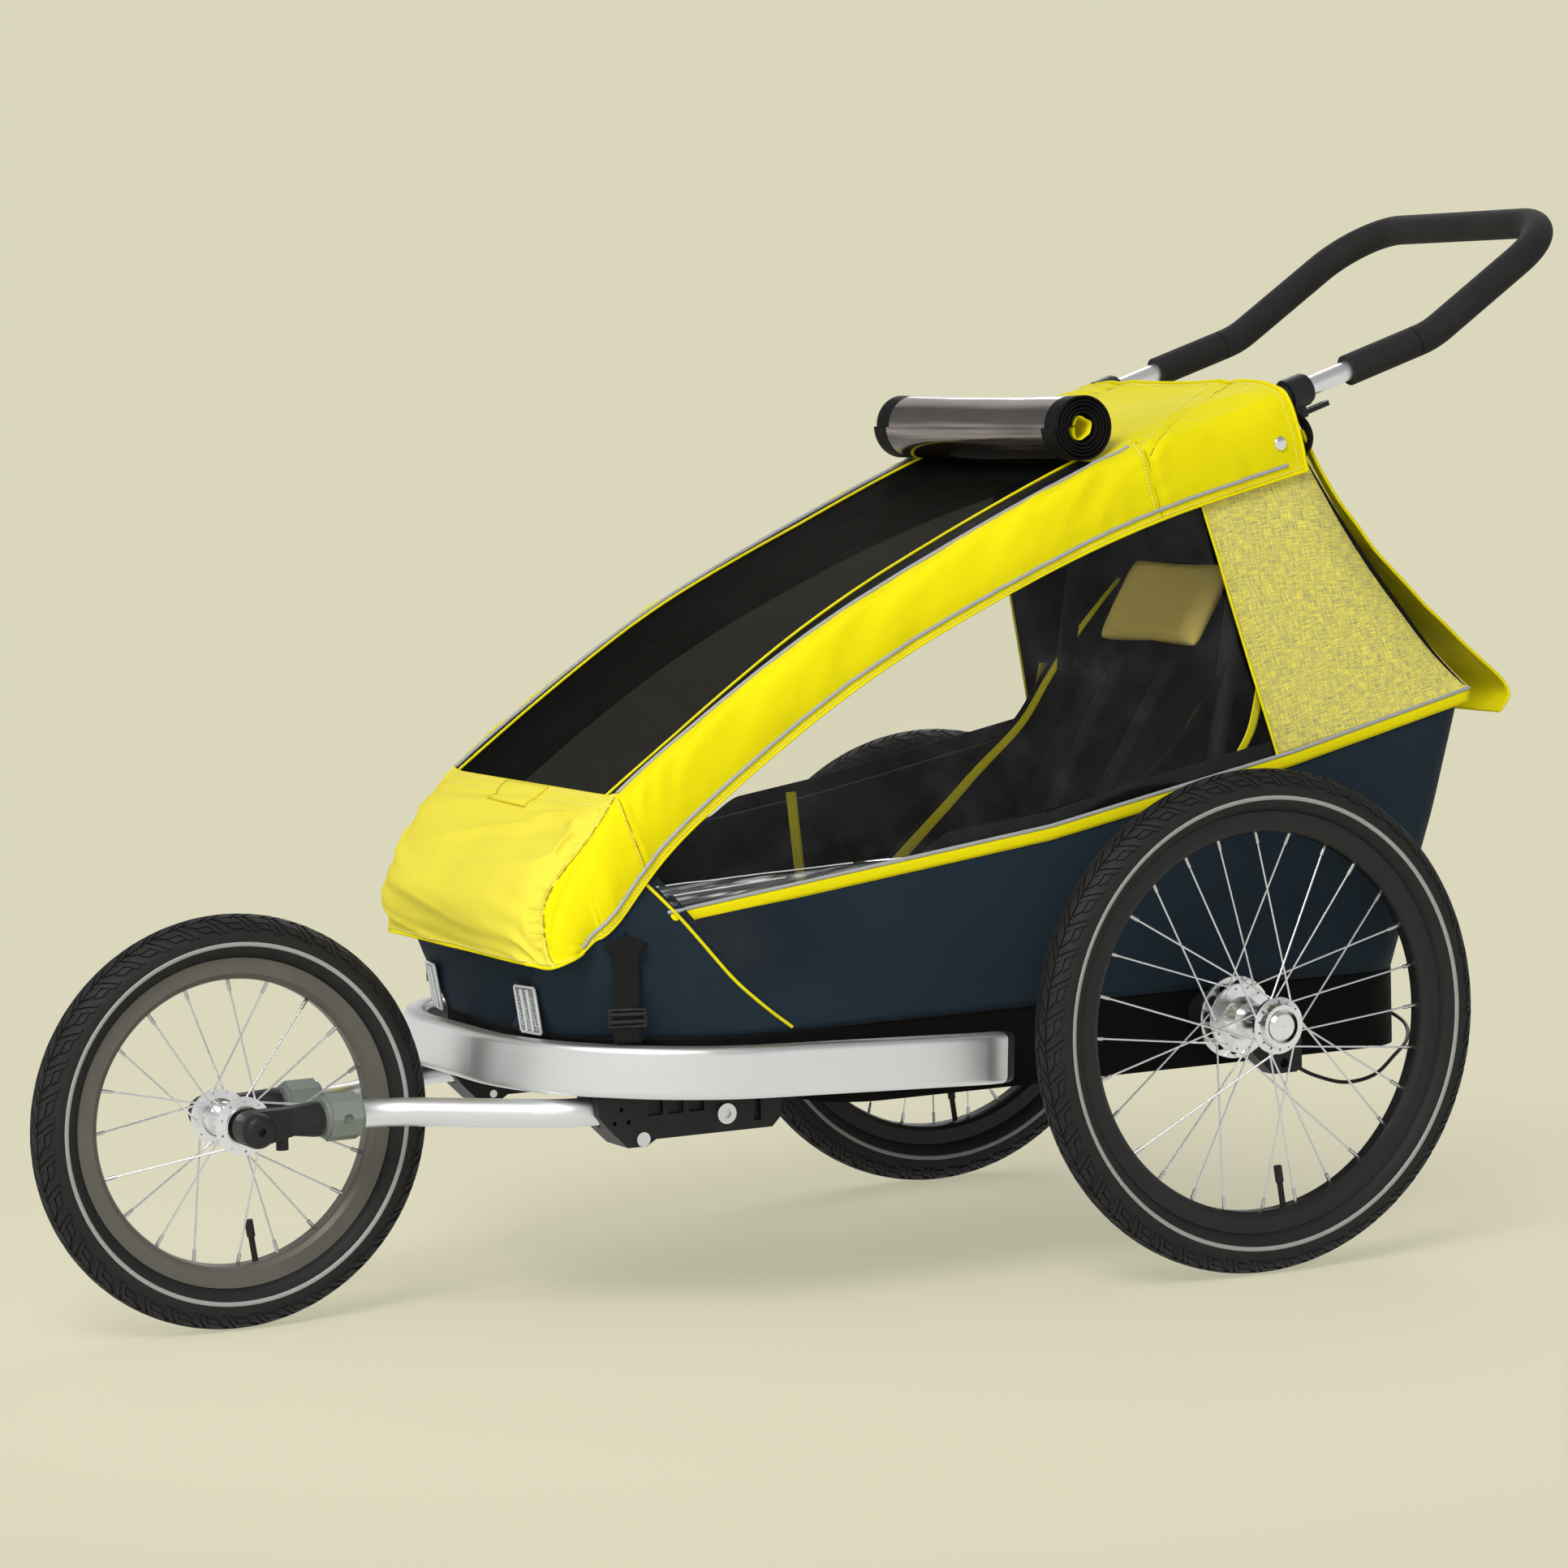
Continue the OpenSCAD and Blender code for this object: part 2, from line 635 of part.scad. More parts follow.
// Front reflectors, clear, with a chamfered lens.
module front_reflectors() {
    color([0.9, 0.9, 0.92]) both() translate([684, 112, 298]) rotate([0, 15.5, 10]) {
        for (step = [[0, 3, 18], [3, 6, 15]])
            block([step[0], -step[2], -step[2] * 1.35], [step[1], step[2], step[2] * 1.35]);
    }
}

// Red reflectors on the rear wall.
module rear_reflectors() {
    color([0.7, 0.05, 0.05]) both() translate([-261.6, 150, 299]) rotate([0, -16.6, 0]) {
        for (step = [[0, 3, 20], [3, 6, 17]])
            block([-step[1], -step[2], -step[2] * 1.2], [-step[0], step[2], step[2] * 1.2]);
    }
}

// Webbing that ties the cover's nose to the tub, with a ladder buckle.
module side_straps() {
    color([0.05, 0.05, 0.05]) both() {
        translate([634, 219, 273]) rotate([-1.5, 0, -21]) {
            block([-13, 0, 0], [13, 2, 106]);
            difference() {
                block([-18, -2.4, 16], [18, 5, 32]);
                block([-13.5, -3, 20], [13.5, 2.5, 28]);
            }
        }
    }
}

// Receivers under the base: a block with the arm's socket, a nose cut back, ribs and three accessory holes.
module arm_receivers() {
    outer = arm_y + receiver_w / 2;
    color([0.07, 0.07, 0.08]) both() difference() {
        union() {
            translate([0, outer, 0]) rotate([90, 0, 0]) linear_extrude(receiver_w) polygon([
                [receiver_x[0], receiver_z[0] + 10], [receiver_x[0] + 10, receiver_z[0]],
                [receiver_x[1] - 60, receiver_z[0]], [receiver_x[1] - 50, receiver_z[0] - 6],
                [receiver_x[1] - 30, receiver_z[0] - 6], [receiver_x[1] - 12, receiver_z[0] + 12],
                [receiver_x[1], receiver_z[0] + 26], [receiver_x[1], receiver_z[1] - 8],
                [receiver_x[1] - 34, receiver_z[1]],
                [receiver_x[0], receiver_z[1]]]);
            for (x = boss_x)
                translate([x, rail_at(x), receiver_z[1] - 1])
                    cylinder(h = base_z - base_r - receiver_z[1] + 0.9, r = 8);
        }
        rod([arm_tail - 1, arm_y, arm_z], [receiver_x[1] + 1, arm_y, arm_z], arm_d / 2 + run_gap);
        rod([receiver_x[1] - 14, arm_y, arm_z], [receiver_x[1] + 1, arm_y, arm_z], arm_d / 2 + 1.5);
        for (x = [544, 566, 588])
            block([x, outer - 5, arm_z - 6], [x + 16, outer + 1, receiver_z[1] - 5]);
        block([receiver_x[0] + 22, outer - 6, receiver_z[0] + 8],
            [receiver_x[0] + 30, outer + 1, receiver_z[1] + 1]);
        for (k = [0 : 2]) let(a = 90 + 120 * k)
            drum([bolt_x, bolt_z] + bolt_circle / 2 * [cos(a), sin(a)], outer - 7, outer + 1, bolt_hole_r);
        drum([522, 192], outer - 12, outer + 1, 6);
        drum([612, 176], arm_y - 30, outer + 1, 4);
    }
}

// Bolts and cross pins of the receivers.
module receiver_bolts() {
    outer = arm_y + receiver_w / 2;
    color("silver") both() {
        difference() {
            union() {
                drum([522, 192], outer - 8, outer, 6);
                drum([522, 192], outer, outer + 5, 10);
            }
            translate([522, outer + 2, 192]) rotate([-90, 0, 0]) cylinder(h = 4, r = 5, $fn = 6);
        }
        drum([612, 176], arm_y - 24, outer + 4, 4);
        drum([612, 176], outer + 0.2, outer + 6, 7);
    }
}

// Blocks that clamp round the side rails and carry the stub axles.
module axle_housings() {
    color([0.07, 0.07, 0.08]) both() difference() {
        union() {
            drum([0, rear_r], rail_y - 16, 281, housing_r);
            block([-34, rail_y - 17, base_z - 20], [34, rail_y + 17, base_z + 20]);
        }
        rod([-60, rail_y, base_z], [60, rail_y, base_z], base_r);
        drum([0, rear_r], rail_y + base_r + 1, 290, axle_r);
    }
}

// Stub axles, each with a stop at its outer end and a bore for the button's stem.
module rear_axles() {
    head = half_track + hub_out + 0.2;
    color("silver") both() difference() {
        union() {
            drum([0, rear_r], rail_y + base_r + 1.2, head + 1.6, axle_r);
            drum([0, rear_r], head, head + 1.6, 9);
        }
        drum([0, rear_r], half_track, head + 5, 4 + run_gap);
    }
}

// Push button in the middle of a hub, on the stub axle.
module axle_button() {
    face = half_track + hub_out + 4.5;
    color([0.6, 0.6, 0.6]) translate([0, 0, rear_r]) spin_y() polygon([
        [0, face - 26], [4, face - 26], [4, face], [hub_button_r, face],
        [hub_button_r, face + 4], [hub_button_r - 3, face + 7], [0, face + 8]]);
}
module left_axle_button() axle_button();
module right_axle_button() mirror([0, 1, 0]) axle_button();

// Brake block with the pin's guide, on the axle housing.
module brake_housings() {
    color([0.08, 0.08, 0.09]) both() difference() {
        union() {
            drum(pin_at, 252, 281, 9);
            translate([0, 276, 0]) rotate([90, 0, 0]) linear_extrude(22) polygon([[-12, 226],
                [-30, 244], [-52, 238],
                [-87, 222], [-87, 190], [-80, 186], [-52, 186]]);
        }
        drum([0, rear_r], 190, 300, housing_r + run_gap);
        drum(pin_at, 240, 300, pin_r + run_gap);
        drum([-66, 196], 268, 280, 5);
        translate([-87.5, 262, 190]) rotate([0, 65, 0]) cylinder(h = 4, r = 2.1);
    }
}

// Brake pin, clear of the disc at rest.
module brake_pin() color("silver") drum(pin_at, 243, 281.5, pin_r);
module left_brake_pin() brake_pin();
module right_brake_pin() mirror([0, 1, 0]) brake_pin();

// Brake cables along both sides.
module brake_cables() color([0.05, 0.05, 0.05]) both() cable(cable_route);

// Foot pedal of the parking brake, hanging on its pivot behind the tub.
module brake_pedal() {
    color([0.65, 0.06, 0.05]) difference() {
        union() {
            drum(pedal_at, -31, 31, 9);
            translate([0, 24, 0]) rotate([90, 0, 0]) linear_extrude(48)
                polygon([[pedal_at.x, pedal_at.y + 8], [pedal_at.x - 58, pedal_at.y - 4],
                    [pedal_at.x - 58, pedal_at.y - 12], [pedal_at.x, pedal_at.y - 8]]);
            block([pedal_at.x - 78, -55, pedal_at.y - 14], [pedal_at.x - 50, 55, pedal_at.y - 2]);
        }
        drum(pedal_at, -60, 60, hinge_pin_r + run_gap);
        for (x = [pedal_at.x - 74 : 7 : pedal_at.x - 54])
            block([x, -50, pedal_at.y - 4], [x + 3, 50, pedal_at.y]);
    }
}

// One jogger arm: straight in the receiver, a double bend, straight beside the wheel.
module jogger_arm() {
    bend_x = arm_bend_r * sin(arm_turn);
    bend_y = arm_bend_r * (1 - cos(arm_turn));
    slant_x = (arm_y - fork_y - 2 * bend_y) / tan(arm_turn);
    from = arm_fork - 2 * bend_x - slant_x;
    translate([0, 0, arm_z]) {
        lapped([arm_tail, arm_y, 0], [from, arm_y, 0], arm_d / 2);
        level_bend([from, arm_y - arm_bend_r], arm_bend_r, 90 - arm_turn, arm_turn, arm_d / 2, arm_thin);
        lapped([from + bend_x, arm_y - bend_y, 0], [arm_fork - bend_x, fork_y + bend_y, 0], arm_d / 2);
        level_bend([arm_fork, fork_y + arm_bend_r], arm_bend_r, 270 - arm_turn, arm_turn, arm_d / 2,
            arm_thin);
        lapped([arm_fork, fork_y, 0], [arm_nose, fork_y, 0], arm_d / 2);
    }
}
module jogger_arms() color("silver") both() jogger_arm();

// Grey eight-sided clamp collars at the front of the arms.
module arm_collars() {
    color([0.42, 0.44, 0.43]) both() translate([846, fork_y, arm_z]) rotate([0, 90, 0]) difference() {
        union() {
            cylinder(h = 30, r = 23, $fn = 8);
            translate([0, 0, -4]) cylinder(h = 38, r = 19);
        }
        translate([0, 0, -5]) cylinder(h = 40, r = arm_d / 2);
        translate([0, 18, 15]) rotate([-90, 0, 0]) cylinder(h = 8, r = 5);
    }
}

// Black dropouts from the collars to the front axle.
module arm_dropouts() {
    color([0.07, 0.07, 0.08]) both() difference() {
        union() {
            hull() {
                translate([884, fork_y, arm_z]) rotate([0, 90, 0]) cylinder(h = 6, r = 17, $fn = 32);
                translate([910, fork_y - 6, arm_z - 12]) cube([6, 16, 26]);
            }
            hull() {
                translate([910, fork_y - 6, arm_z - 12]) cube([6, 16, 26]);
                translate([wheelbase, 46, front_r]) rotate([-90, 0, 0]) cylinder(h = 19, r = 17, $fn = 32);
            }
            translate([922, fork_y + 2, arm_z - 26]) cylinder(h = 20, r = 6);
        }
        drum([wheelbase, front_r], 40, 70, front_axle_r);
        drum([wheelbase, front_r], 61, 70, 12);
    }
}

// Front axle with shoulders against the bearings.
module front_axle() {
    color("silver") {
        drum([wheelbase, front_r], -72, 72, front_axle_r);
        both() drum([wheelbase, front_r], 42, 46, 8);
    }
}

// Dome nuts on the front axle, each with a hexagon socket.
module axle_knobs() {
    color([0.06, 0.06, 0.07]) both() difference() {
        translate([wheelbase, 0, front_r]) spin_y() polygon(concat(
            [[front_axle_r, 61.2], [11.6, 61.2], [11.6, 65.3], [17, 65.3], [17, 70]],
            [for (a = [15 : 15 : 75]) [8 + 9 * cos(a), 70 + 11 * sin(a)]],
            [[0, 81], [0, 72.2], [front_axle_r, 72.2]]));
        translate([wheelbase, 76, front_r]) rotate([-90, 0, 0]) cylinder(h = 8, r = 4.5, $fn = 6);
    }
}

// Pins of the roof hoop's front hinge.
module roof_pivot_pins() {
    color("silver") both() {
        drum(pivot, roof_y - 14, roof_y + 10.4, hinge_pin_r);
        drum(pivot, roof_y - 14, roof_y - eye_half - 4, 8);
    }
}

// Tyre section: round carcass, open inside, with two beads.
module tyre_section(r) {
    middle = r - tyre_w / 2;
    bead = r - bead_in;
    rim_top = r - rim_top_in;
    difference() {
        union() {
            intersection() {
                translate([middle, 0]) circle(d = tyre_w);
                translate([rim_top + 0.2, -tyre_w]) square(2 * tyre_w);
            }
            for (s = [-1, 1])
                translate([bead, s * 8.6 - 1.6]) square([rim_top - bead + 2, 3.2]);
        }
        intersection() {
            translate([middle, 0]) circle(d = tyre_w - 2 * tyre_wall);
            translate([rim_top + tyre_wall, -tyre_w]) square(2 * tyre_w);
        }
        translate([bead - 1, -7]) square([rim_top - bead + tyre_wall + 2, 14]);
        for (s = [-1, 1])
            translate([r - 2.4, s * 4.5 - 0.8]) square([4, 1.6]);
    }
}

// Tyre with the valve of its tube, centred on the wheel.
module tyre(r) {
    valve_r = 3.2;
    rim_inside = r - rim_inside_in;
    spin_y() tyre_section(r);
    rotate([0, 90 + 8, 0]) {
        translate([0, 0, rim_inside - 34]) cylinder(h = 34 - 0.3, r = valve_r);
        translate([0, 0, rim_inside - 40]) cylinder(h = 14, r = valve_r + 1.2);
    }
}

// Box rim with hooked edges and a drop centre.
module rim(r) {
    top = r - rim_top_in;
    seat = r - bead_in - 0.05;
    low = r - rim_inside_in;
    half = rim_w / 2;
    edge = [[top, half], [low + 6, half], [low + 1.5, half - 3], [low, half - 6]];
    well = [[seat, 10.4], [seat, 6], [seat - 4, 4]];
    spin_y() polygon(concat(edge, [for (k = [3 : -1 : 0]) [edge[k].x, -edge[k].y]], [[top, -10.4]],
        [for (p = well) [p.x, -p.y]], [for (k = [2 : -1 : 0]) well[k]], [[top, 10.4]]));
}

// Spokes of a wheel, crossed within each flange: flange places along the axle, hole circles and rim radius.
module spokes(count, flange, circle_r, rim_inside, cross) {
    per_side = count / 2;
    step = 360 / per_side;
    color("silver") for (side = [0, 1]) for (k = [0 : per_side - 1]) {
        turn = (k % 2 == 0 ? 1 : -1);
        a = step * k + side * step / 2;
        b = a + turn * cross * step;
        foot = [circle_r[side] * cos(a), flange[side] + turn * 1.9, circle_r[side] * sin(a)];
        tip = [(rim_inside + 1) * cos(b), sign(flange[side]) * 1.5, (rim_inside + 1) * sin(b)];
        rod(foot, tip, spoke_d / 2);
        rod(tip + 13 / norm(foot - tip) * (foot - tip), tip, 1.9);
    }
}

// Rear hub: shell with two flanges, bearing seats, a recess for the button and the slotted brake disc.
module rear_hub() {
    inner = [[11, -hub_in + 2], [bearing_r, -hub_in + 2], [bearing_r, -hub_in - 8]];
    outer = [[26, -hub_in - 8], [28, -hub_in - 4], [hub_in_r, -hub_in - 2], [hub_in_r, -hub_in + 2],
        [22, -hub_in + 4], [17, -hub_in + 16], [17, hub_out - 16], [20, hub_out - 4],
        [hub_out_r, hub_out - 2], [hub_out_r, hub_out + 2], [23, hub_out + 4], [21, hub_out + 10]];
    cap = [[hub_button_r + 2, hub_out + 10], [hub_button_r + 2, hub_out], [bearing_r, hub_out],
        [bearing_r, hub_out - bearing_w], [11, hub_out - bearing_w]];
    color("silver") {
        difference() {
            spin_y() polygon(concat(inner, outer, cap));
            flange_holes(rear_spokes / 2, hub_in_r - 4, -hub_in - 3, -hub_in + 5, 0);
            flange_holes(rear_spokes / 2, hub_out_r - 4, hub_out - 3, hub_out + 5, 0.5);
        }
        difference() {
            spin_y() translate([bearing_r + 1, disc_y]) square([disc_r - bearing_r - 1, disc_t]);
            for (k = [0 : pin_slots - 1]) let(a = pin_angle + k * 360 / pin_slots)
                drum(pin_circle * [cos(a), sin(a)], disc_y - 1, disc_y + disc_t + 1, pin_r + 0.7);
        }
    }
}

// Spoke holes of a flange.
module flange_holes(count, r, from, to, shift) {
    for (k = [0 : count - 1]) let(a = 360 * (k + shift) / count)
        drum(r * [cos(a), sin(a)], from, to, spoke_d / 2 + 0.3);
}

// Front hub: narrow, with two equal flanges.
module front_hub_shell() {
    edge = [[15, 0], [15.5, front_flange - 12], [19, front_flange - 4], [28, front_flange - 2],
        [28, front_flange + 2], [20, front_flange + 4], [19, front_flange + 7]];
    bore = [[bearing_r, front_flange + 7], [bearing_r, front_flange - 1], [10, front_flange - 1]];
    half = concat(edge, bore);
    color("silver") difference() {
        spin_y() polygon(concat(half, [for (k = [len(half) - 1 : -1 : 0]) [half[k].x, -half[k].y]]));
        flange_holes(front_spokes / 2, 24, front_flange - 3, front_flange + 5, 0.5);
        flange_holes(front_spokes / 2, 24, -front_flange - 5, -front_flange + 3, 0);
    }
}

// Ball bearings, drawn as rings.
module bearing(y, bore) {
    difference() {
        drum([0, 0], y, y + bearing_w, bearing_r);
        drum([0, 0], y - 1, y + bearing_w + 1, bore + run_gap);
    }
}

// Places of the wheels; the right wheel is the left one mirrored.
module at_left() translate([0, half_track, rear_r]) children();
module at_right() mirror([0, 1, 0]) at_left() children();
module at_front() translate([wheelbase, 0, front_r]) children();
module rear_tyre() color([0.06, 0.06, 0.06]) tyre(rear_r);
module rear_rim() color([0.08, 0.08, 0.08]) rim(rear_r);
module rear_spoke_set() {
    spokes(rear_spokes, [-hub_in, hub_out], [hub_in_r - 4, hub_out_r - 4], rear_r - rim_inside_in, 2);
}
module rear_bearings() {
    color("gray") {
        bearing(-hub_in - 6, axle_r);
        bearing(hub_out - bearing_w, axle_r);
    }
}
module left_tyre() at_left() rear_tyre();
module left_rim() at_left() rear_rim();
module left_hub() at_left() rear_hub();
module left_spokes() at_left() rear_spoke_set();
module left_bearings() at_left() rear_bearings();
module right_tyre() at_right() rear_tyre();
module right_rim() at_right() rear_rim();
module right_hub() at_right() rear_hub();
module right_spokes() at_right() rear_spoke_set();
module right_bearings() at_right() rear_bearings();
module front_tyre() at_front() color([0.06, 0.06, 0.06]) tyre(front_r);
module front_rim() at_front() color([0.2, 0.18, 0.15]) rim(front_r);
module front_hub() at_front() front_hub_shell();
module front_spokes_set() {
    at_front() spokes(front_spokes, [-front_flange, front_flange], [24, 24], front_r - rim_inside_in, 1);
}
module front_bearings() {
    at_front() color("gray") both() bearing(front_flange - 0.9, front_axle_r);
}

// One roof tube, from its open rear end to its foot.
module roof_tube() {
    translate([0, roof_y, 0]) {
        lapped(side(bar_end, 0), side(arc_from, 0), roof_r);
        upright_bend(arc_c, roof_arc_r, 90 - roof_arc_end, 90 - leg_slope, roof_r);
        lapped(side(arc_to, 0), side(bend_from, 0), roof_r);
        upright_bend(bend_c, front_bend_r, 90 - foot_slope, 90 - roof_arc_end, roof_r);
        lapped(side(bend_to, 0), side(pivot, 0), roof_r);
    }
    drum(pivot, roof_y - eye_half, roof_y + eye_half, roof_r + 0.6);
}

// Ear that hangs below a roof tube for the upright's hinge, with its pin and the fold button's housing.
module hinge_ear() {
    translate([0, roof_y - 5, 0]) rotate([90, 0, 0]) linear_extrude(6)
        polygon([hinge + [-16, 46], hinge + [-13, -6], hinge + [-4, -12], hinge + [8, -10], hinge + [13, 0],
            hinge + [20, 34]]);
    drum(hinge, upright_y - 10, roof_y - 6, hinge_pin_r);
    drum(hinge, upright_y - 13, upright_y - 8, 8);
    rod([hinge.x - 20, roof_y - 3, hinge.y + 10], [hinge.x - 4, roof_y - 3, hinge.y + 10], 11);
}

// Roof hoop: two tubes, three cross bars and the hinge ears, open at the rear ends for the push bar.
module roof_hoop() {
    color("dimgray") difference() {
        union() {
            both() {
                roof_tube();
                hinge_ear();
            }
            for (t = [0.25, 1.1, 4.6])
                let(p = roof_bar_at(t)) rod([p.x, -roof_y, p.y], [p.x, roof_y, p.y], 8);
        }
        both() {
            rod(side(bar_end + 2 * leg_dir, roof_y), side(bar_end - (roof_straight - 2) * leg_dir, roof_y),
                bar_d / 2 + run_gap);
            for (y = [roof_y - eye_half - 20, roof_y + eye_half])
                block([pivot.x - 24, y, pivot.y - 16], [pivot.x + 30, y + 20, pivot.y + 17]);
            drum(pivot, roof_y - 20, roof_y + 20, hinge_pin_r + run_gap);
            rod([hinge.x - 30, roof_y - 3, hinge.y + 10],
                [hinge.x - 8, roof_y - 3, hinge.y + 10], 7 + run_gap);
        }
    }
}

// Middle of the roof tube at a cover station.
function roof_bar_at(t) = let(
    x = spline(mid_line, t).x,
    s = sin(leg_slope) + (x - arc_from.x) / roof_arc_r)
    x < arc_from.x ? bar_end + (bar_end.x - x) / cos(leg_slope) * leg_dir
        : [x, arc_c.y + roof_arc_r * sqrt(1 - s * s)];

// Button that frees the upright's hinge.
module fold_button() {
    color([0.07, 0.07, 0.08]) rod([hinge.x - 27, roof_y - 3, hinge.y + 10],
        [hinge.x - 14, roof_y - 3, hinge.y + 10], 7);
}
module left_fold_button() fold_button();
module right_fold_button() mirror([0, 1, 0]) fold_button();

// Turns and places a drawing so that its Z runs up the push bar's leg from the roof tube's end.
module on_leg() translate(side(bar_end, roof_y)) rotate([0, -90 + leg_slope, 0]) children();

// Clamps on the ends of the roof tubes: a collar, a lip round the push bar and two lugs for the lever.
lug_x = -20;
module handle_clamps() {
    color([0.06, 0.06, 0.07]) both() on_leg() difference() {
        union() {
            translate([0, 0, -16]) cylinder(h = 22, r = 17);
            translate([0, 0, 5]) cylinder(h = 5, r = 15);
            block([lug_x - 6, -9, -14], [-10, -5, -2]);
            block([lug_x - 6, 5, -14], [-10, 9, -2]);
        }
        translate([0, 0, -30]) cylinder(h = 30 + 2 * lap, r = roof_r + 0.02);
        translate([lug_x, -5, -8]) rotate([-90, 0, 0]) cylinder(h = 10, r = 6.2);
        cylinder(h = 20, r = bar_d / 2 + 0.3);
        translate([lug_x, -10, -8]) rotate([-90, 0, 0]) cylinder(h = 20, r = 2);
    }
}

// Cam lever of a clamp, lying along the underside of the leg when shut.
module clamp_lever() {
    color([0.06, 0.06, 0.07]) on_leg() {
        translate([lug_x, -9.5, -8]) rotate([-90, 0, 0]) cylinder(h = 19, r = 2 - run_gap);
        difference() {
            union() {
                translate([lug_x, -4.6, -8]) rotate([-90, 0, 0]) cylinder(h = 9.2, r = 5.5);
                block([lug_x - 5, -4.6, -8], [lug_x, 4.6, 26]);
                translate([lug_x - 2.5, 0, 26]) rotate([0, -90, 0]) cylinder(h = 5, r = 4.6, center = true);
            }
            block([lug_x - 1.6, -2.4, 4], [lug_x + 1, 2.4, 24]);
        }
    }
}
module left_clamp_lever() clamp_lever();
module right_clamp_lever() mirror([0, 1, 0]) clamp_lever();

// Line of the push bar: legs, bends and loop, as one tube of radius r from a distance along the leg.
module bar_line(r, start) {
    both() {
        translate([0, roof_y, 0]) {
            lapped(side(bar_end + start * leg_dir, 0), side(leg_top, 0), r);
            upright_bend(leg_top + leg_bend_r * [sin(leg_slope), cos(leg_slope)], leg_bend_r,
                270 - loop_slope, 270 - leg_slope, r);
            lapped(side(loop_foot, 0), side(loop_top, 0), r);
        }
        translate(side(loop_top, roof_y - loop_r)) rotate([0, loop_slope, 0])
            level_bend([0, 0], loop_r, 90, 90, r);
    }
    lapped(side(cross_at, loop_r - roof_y), side(cross_at, roof_y - loop_r), r);
}

// Push bar tube, its legs reaching into the roof tubes.
insert = 118;
module push_bar() color("silver") bar_line(bar_d / 2, -insert);

// Foam grip in three lengths: two leg sleeves and the loop.
foam_from = 62;
foam_seam = 148;
module foam_grip() {
    color([0.07, 0.07, 0.07]) difference() {
        union() {
            bar_line(foam_d / 2, foam_seam + 0.8);
            both() rod(side(bar_end + foam_from * leg_dir, roof_y),
                side(bar_end + foam_seam * leg_dir, roof_y), foam_d / 2);
        }
        bar_line(bar_d / 2 + 0.02, 0);
    }
}

// Rear uprights: two posts, a foot bar and hinge eyes.
module rear_uprights() {
    top = hinge + eye_r * 0.5 * (foot - hinge) / norm(foot - hinge);
    color("dimgray") difference() {
        union() {
            both() {
                rod(side(foot, upright_y), side(top, upright_y), upright_r);
                drum(hinge, upright_y - 7.6, upright_y + 7.6, eye_r);
                translate(side(foot, upright_y)) sphere(upright_r);
            }
            drum(foot, -upright_y, upright_y, upright_r);
        }
        both() {
            drum(hinge, upright_y - 20, upright_y + 20, hinge_pin_r + run_gap);
            block([hinge.x - 20, upright_y + 7.6, hinge.y - 20],
                [hinge.x + 20, upright_y + 20, hinge.y + 20]);
            block([hinge.x - 20, upright_y - 20, hinge.y - 20],
                [hinge.x + 20, upright_y - 7.6, hinge.y + 20]);
        }
    }
}

// Seat cushion with a sling that runs back to the axle tube.
module seat_pad() {
    color([0.1, 0.1, 0.11]) {
        translate([200, 0, 282]) rotate([0, -3, 0]) pad(270, 300, 42, 3);
        block([-86, -104, base_z + base_r + 0.2], [338, 104, base_z + base_r + 3.2]);
    }
}

// Reclined backrest with side wings.
back_foot = [66, 300];
back_top = [-190, 722];
module backrest_pad() {
    along = back_top - back_foot;
    color([0.1, 0.1, 0.11]) translate(side((back_foot + back_top) / 2, 0))
        rotate([0, atan2(along.x, along.y) + 90, 0]) pad(norm(along), 292, 30, 4);
}

// Headrest cushion on the backrest.
module headrest_pad() {
    color([0.55, 0.45, 0.2]) translate([-108, 0, 646]) rotate([0, 59, 0]) pad(96, 190, 26, 0);
}

// Shoulder straps over the backrest, joined at a buckle on the seat.
module harness() {
    run = [[-82, 588], [-29, 502], [32, 402], [72, 346], [116, 322], [160, 314]];
    half = 13;
    steps = 3;
    last = (len(run) - 1) * steps;
    color([0.06, 0.06, 0.06]) {
        both() {
            grid = [for (i = [0 : last]) let(p = spline(run, i / steps), y = 52 - 34 * i / last)
                [for (s = [1, -1]) [p.x, y + s * half, p.y]]];
            skin(pushed(grid, 1.2), grid);
        }
        block([152, -24, 309.5], [180, 24, 319.5]);
    }
}

// Shifts everything so that the part's box is centred along X.
module place() translate([axle_x, 0, 0]) children();

place() base_frame();
place() floor_tray();
place() bumper_bar();
place() bumper_end_caps();
place() tub_fabric();
place() front_reflectors();
place() rear_reflectors();
place() side_straps();
place() arm_receivers();
place() receiver_bolts();
place() axle_housings();
place() rear_axles();
place() brake_housings();
place() brake_cables();
place() jogger_arms();
place() arm_collars();
place() arm_dropouts();
place() front_axle();
place() axle_knobs();
place() roof_pivot_pins();
place() seat_pad();
place() backrest_pad();
place() headrest_pad();
place() harness();
place() side_windows();
place() side_panels();
place() rear_flap();
place() left_tyre();
place() left_rim();
place() left_hub();
place() left_spokes();
place() left_bearings();
place() right_tyre();
place() right_rim();
place() right_hub();
place() right_spokes();
place() right_bearings();
place() front_tyre();
place() front_rim();
place() front_hub();
place() front_spokes_set();
place() front_bearings();
place() left_axle_button();
place() right_axle_button();
place() roof_hoop();
place() handle_clamps();
place() canopy_cover();
place() mesh_screen();
place() rain_cover_roll();
place() left_fold_button();
place() right_fold_button();
place() rear_uprights();
place() push_bar();
place() foam_grip();
place() left_clamp_lever();
place() right_clamp_lever();
place() brake_pedal();
place() left_brake_pin();
place() right_brake_pin();
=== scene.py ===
"""Looks of a child bicycle trailer: its cloth, film, foam, rubber and metal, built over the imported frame."""
import math

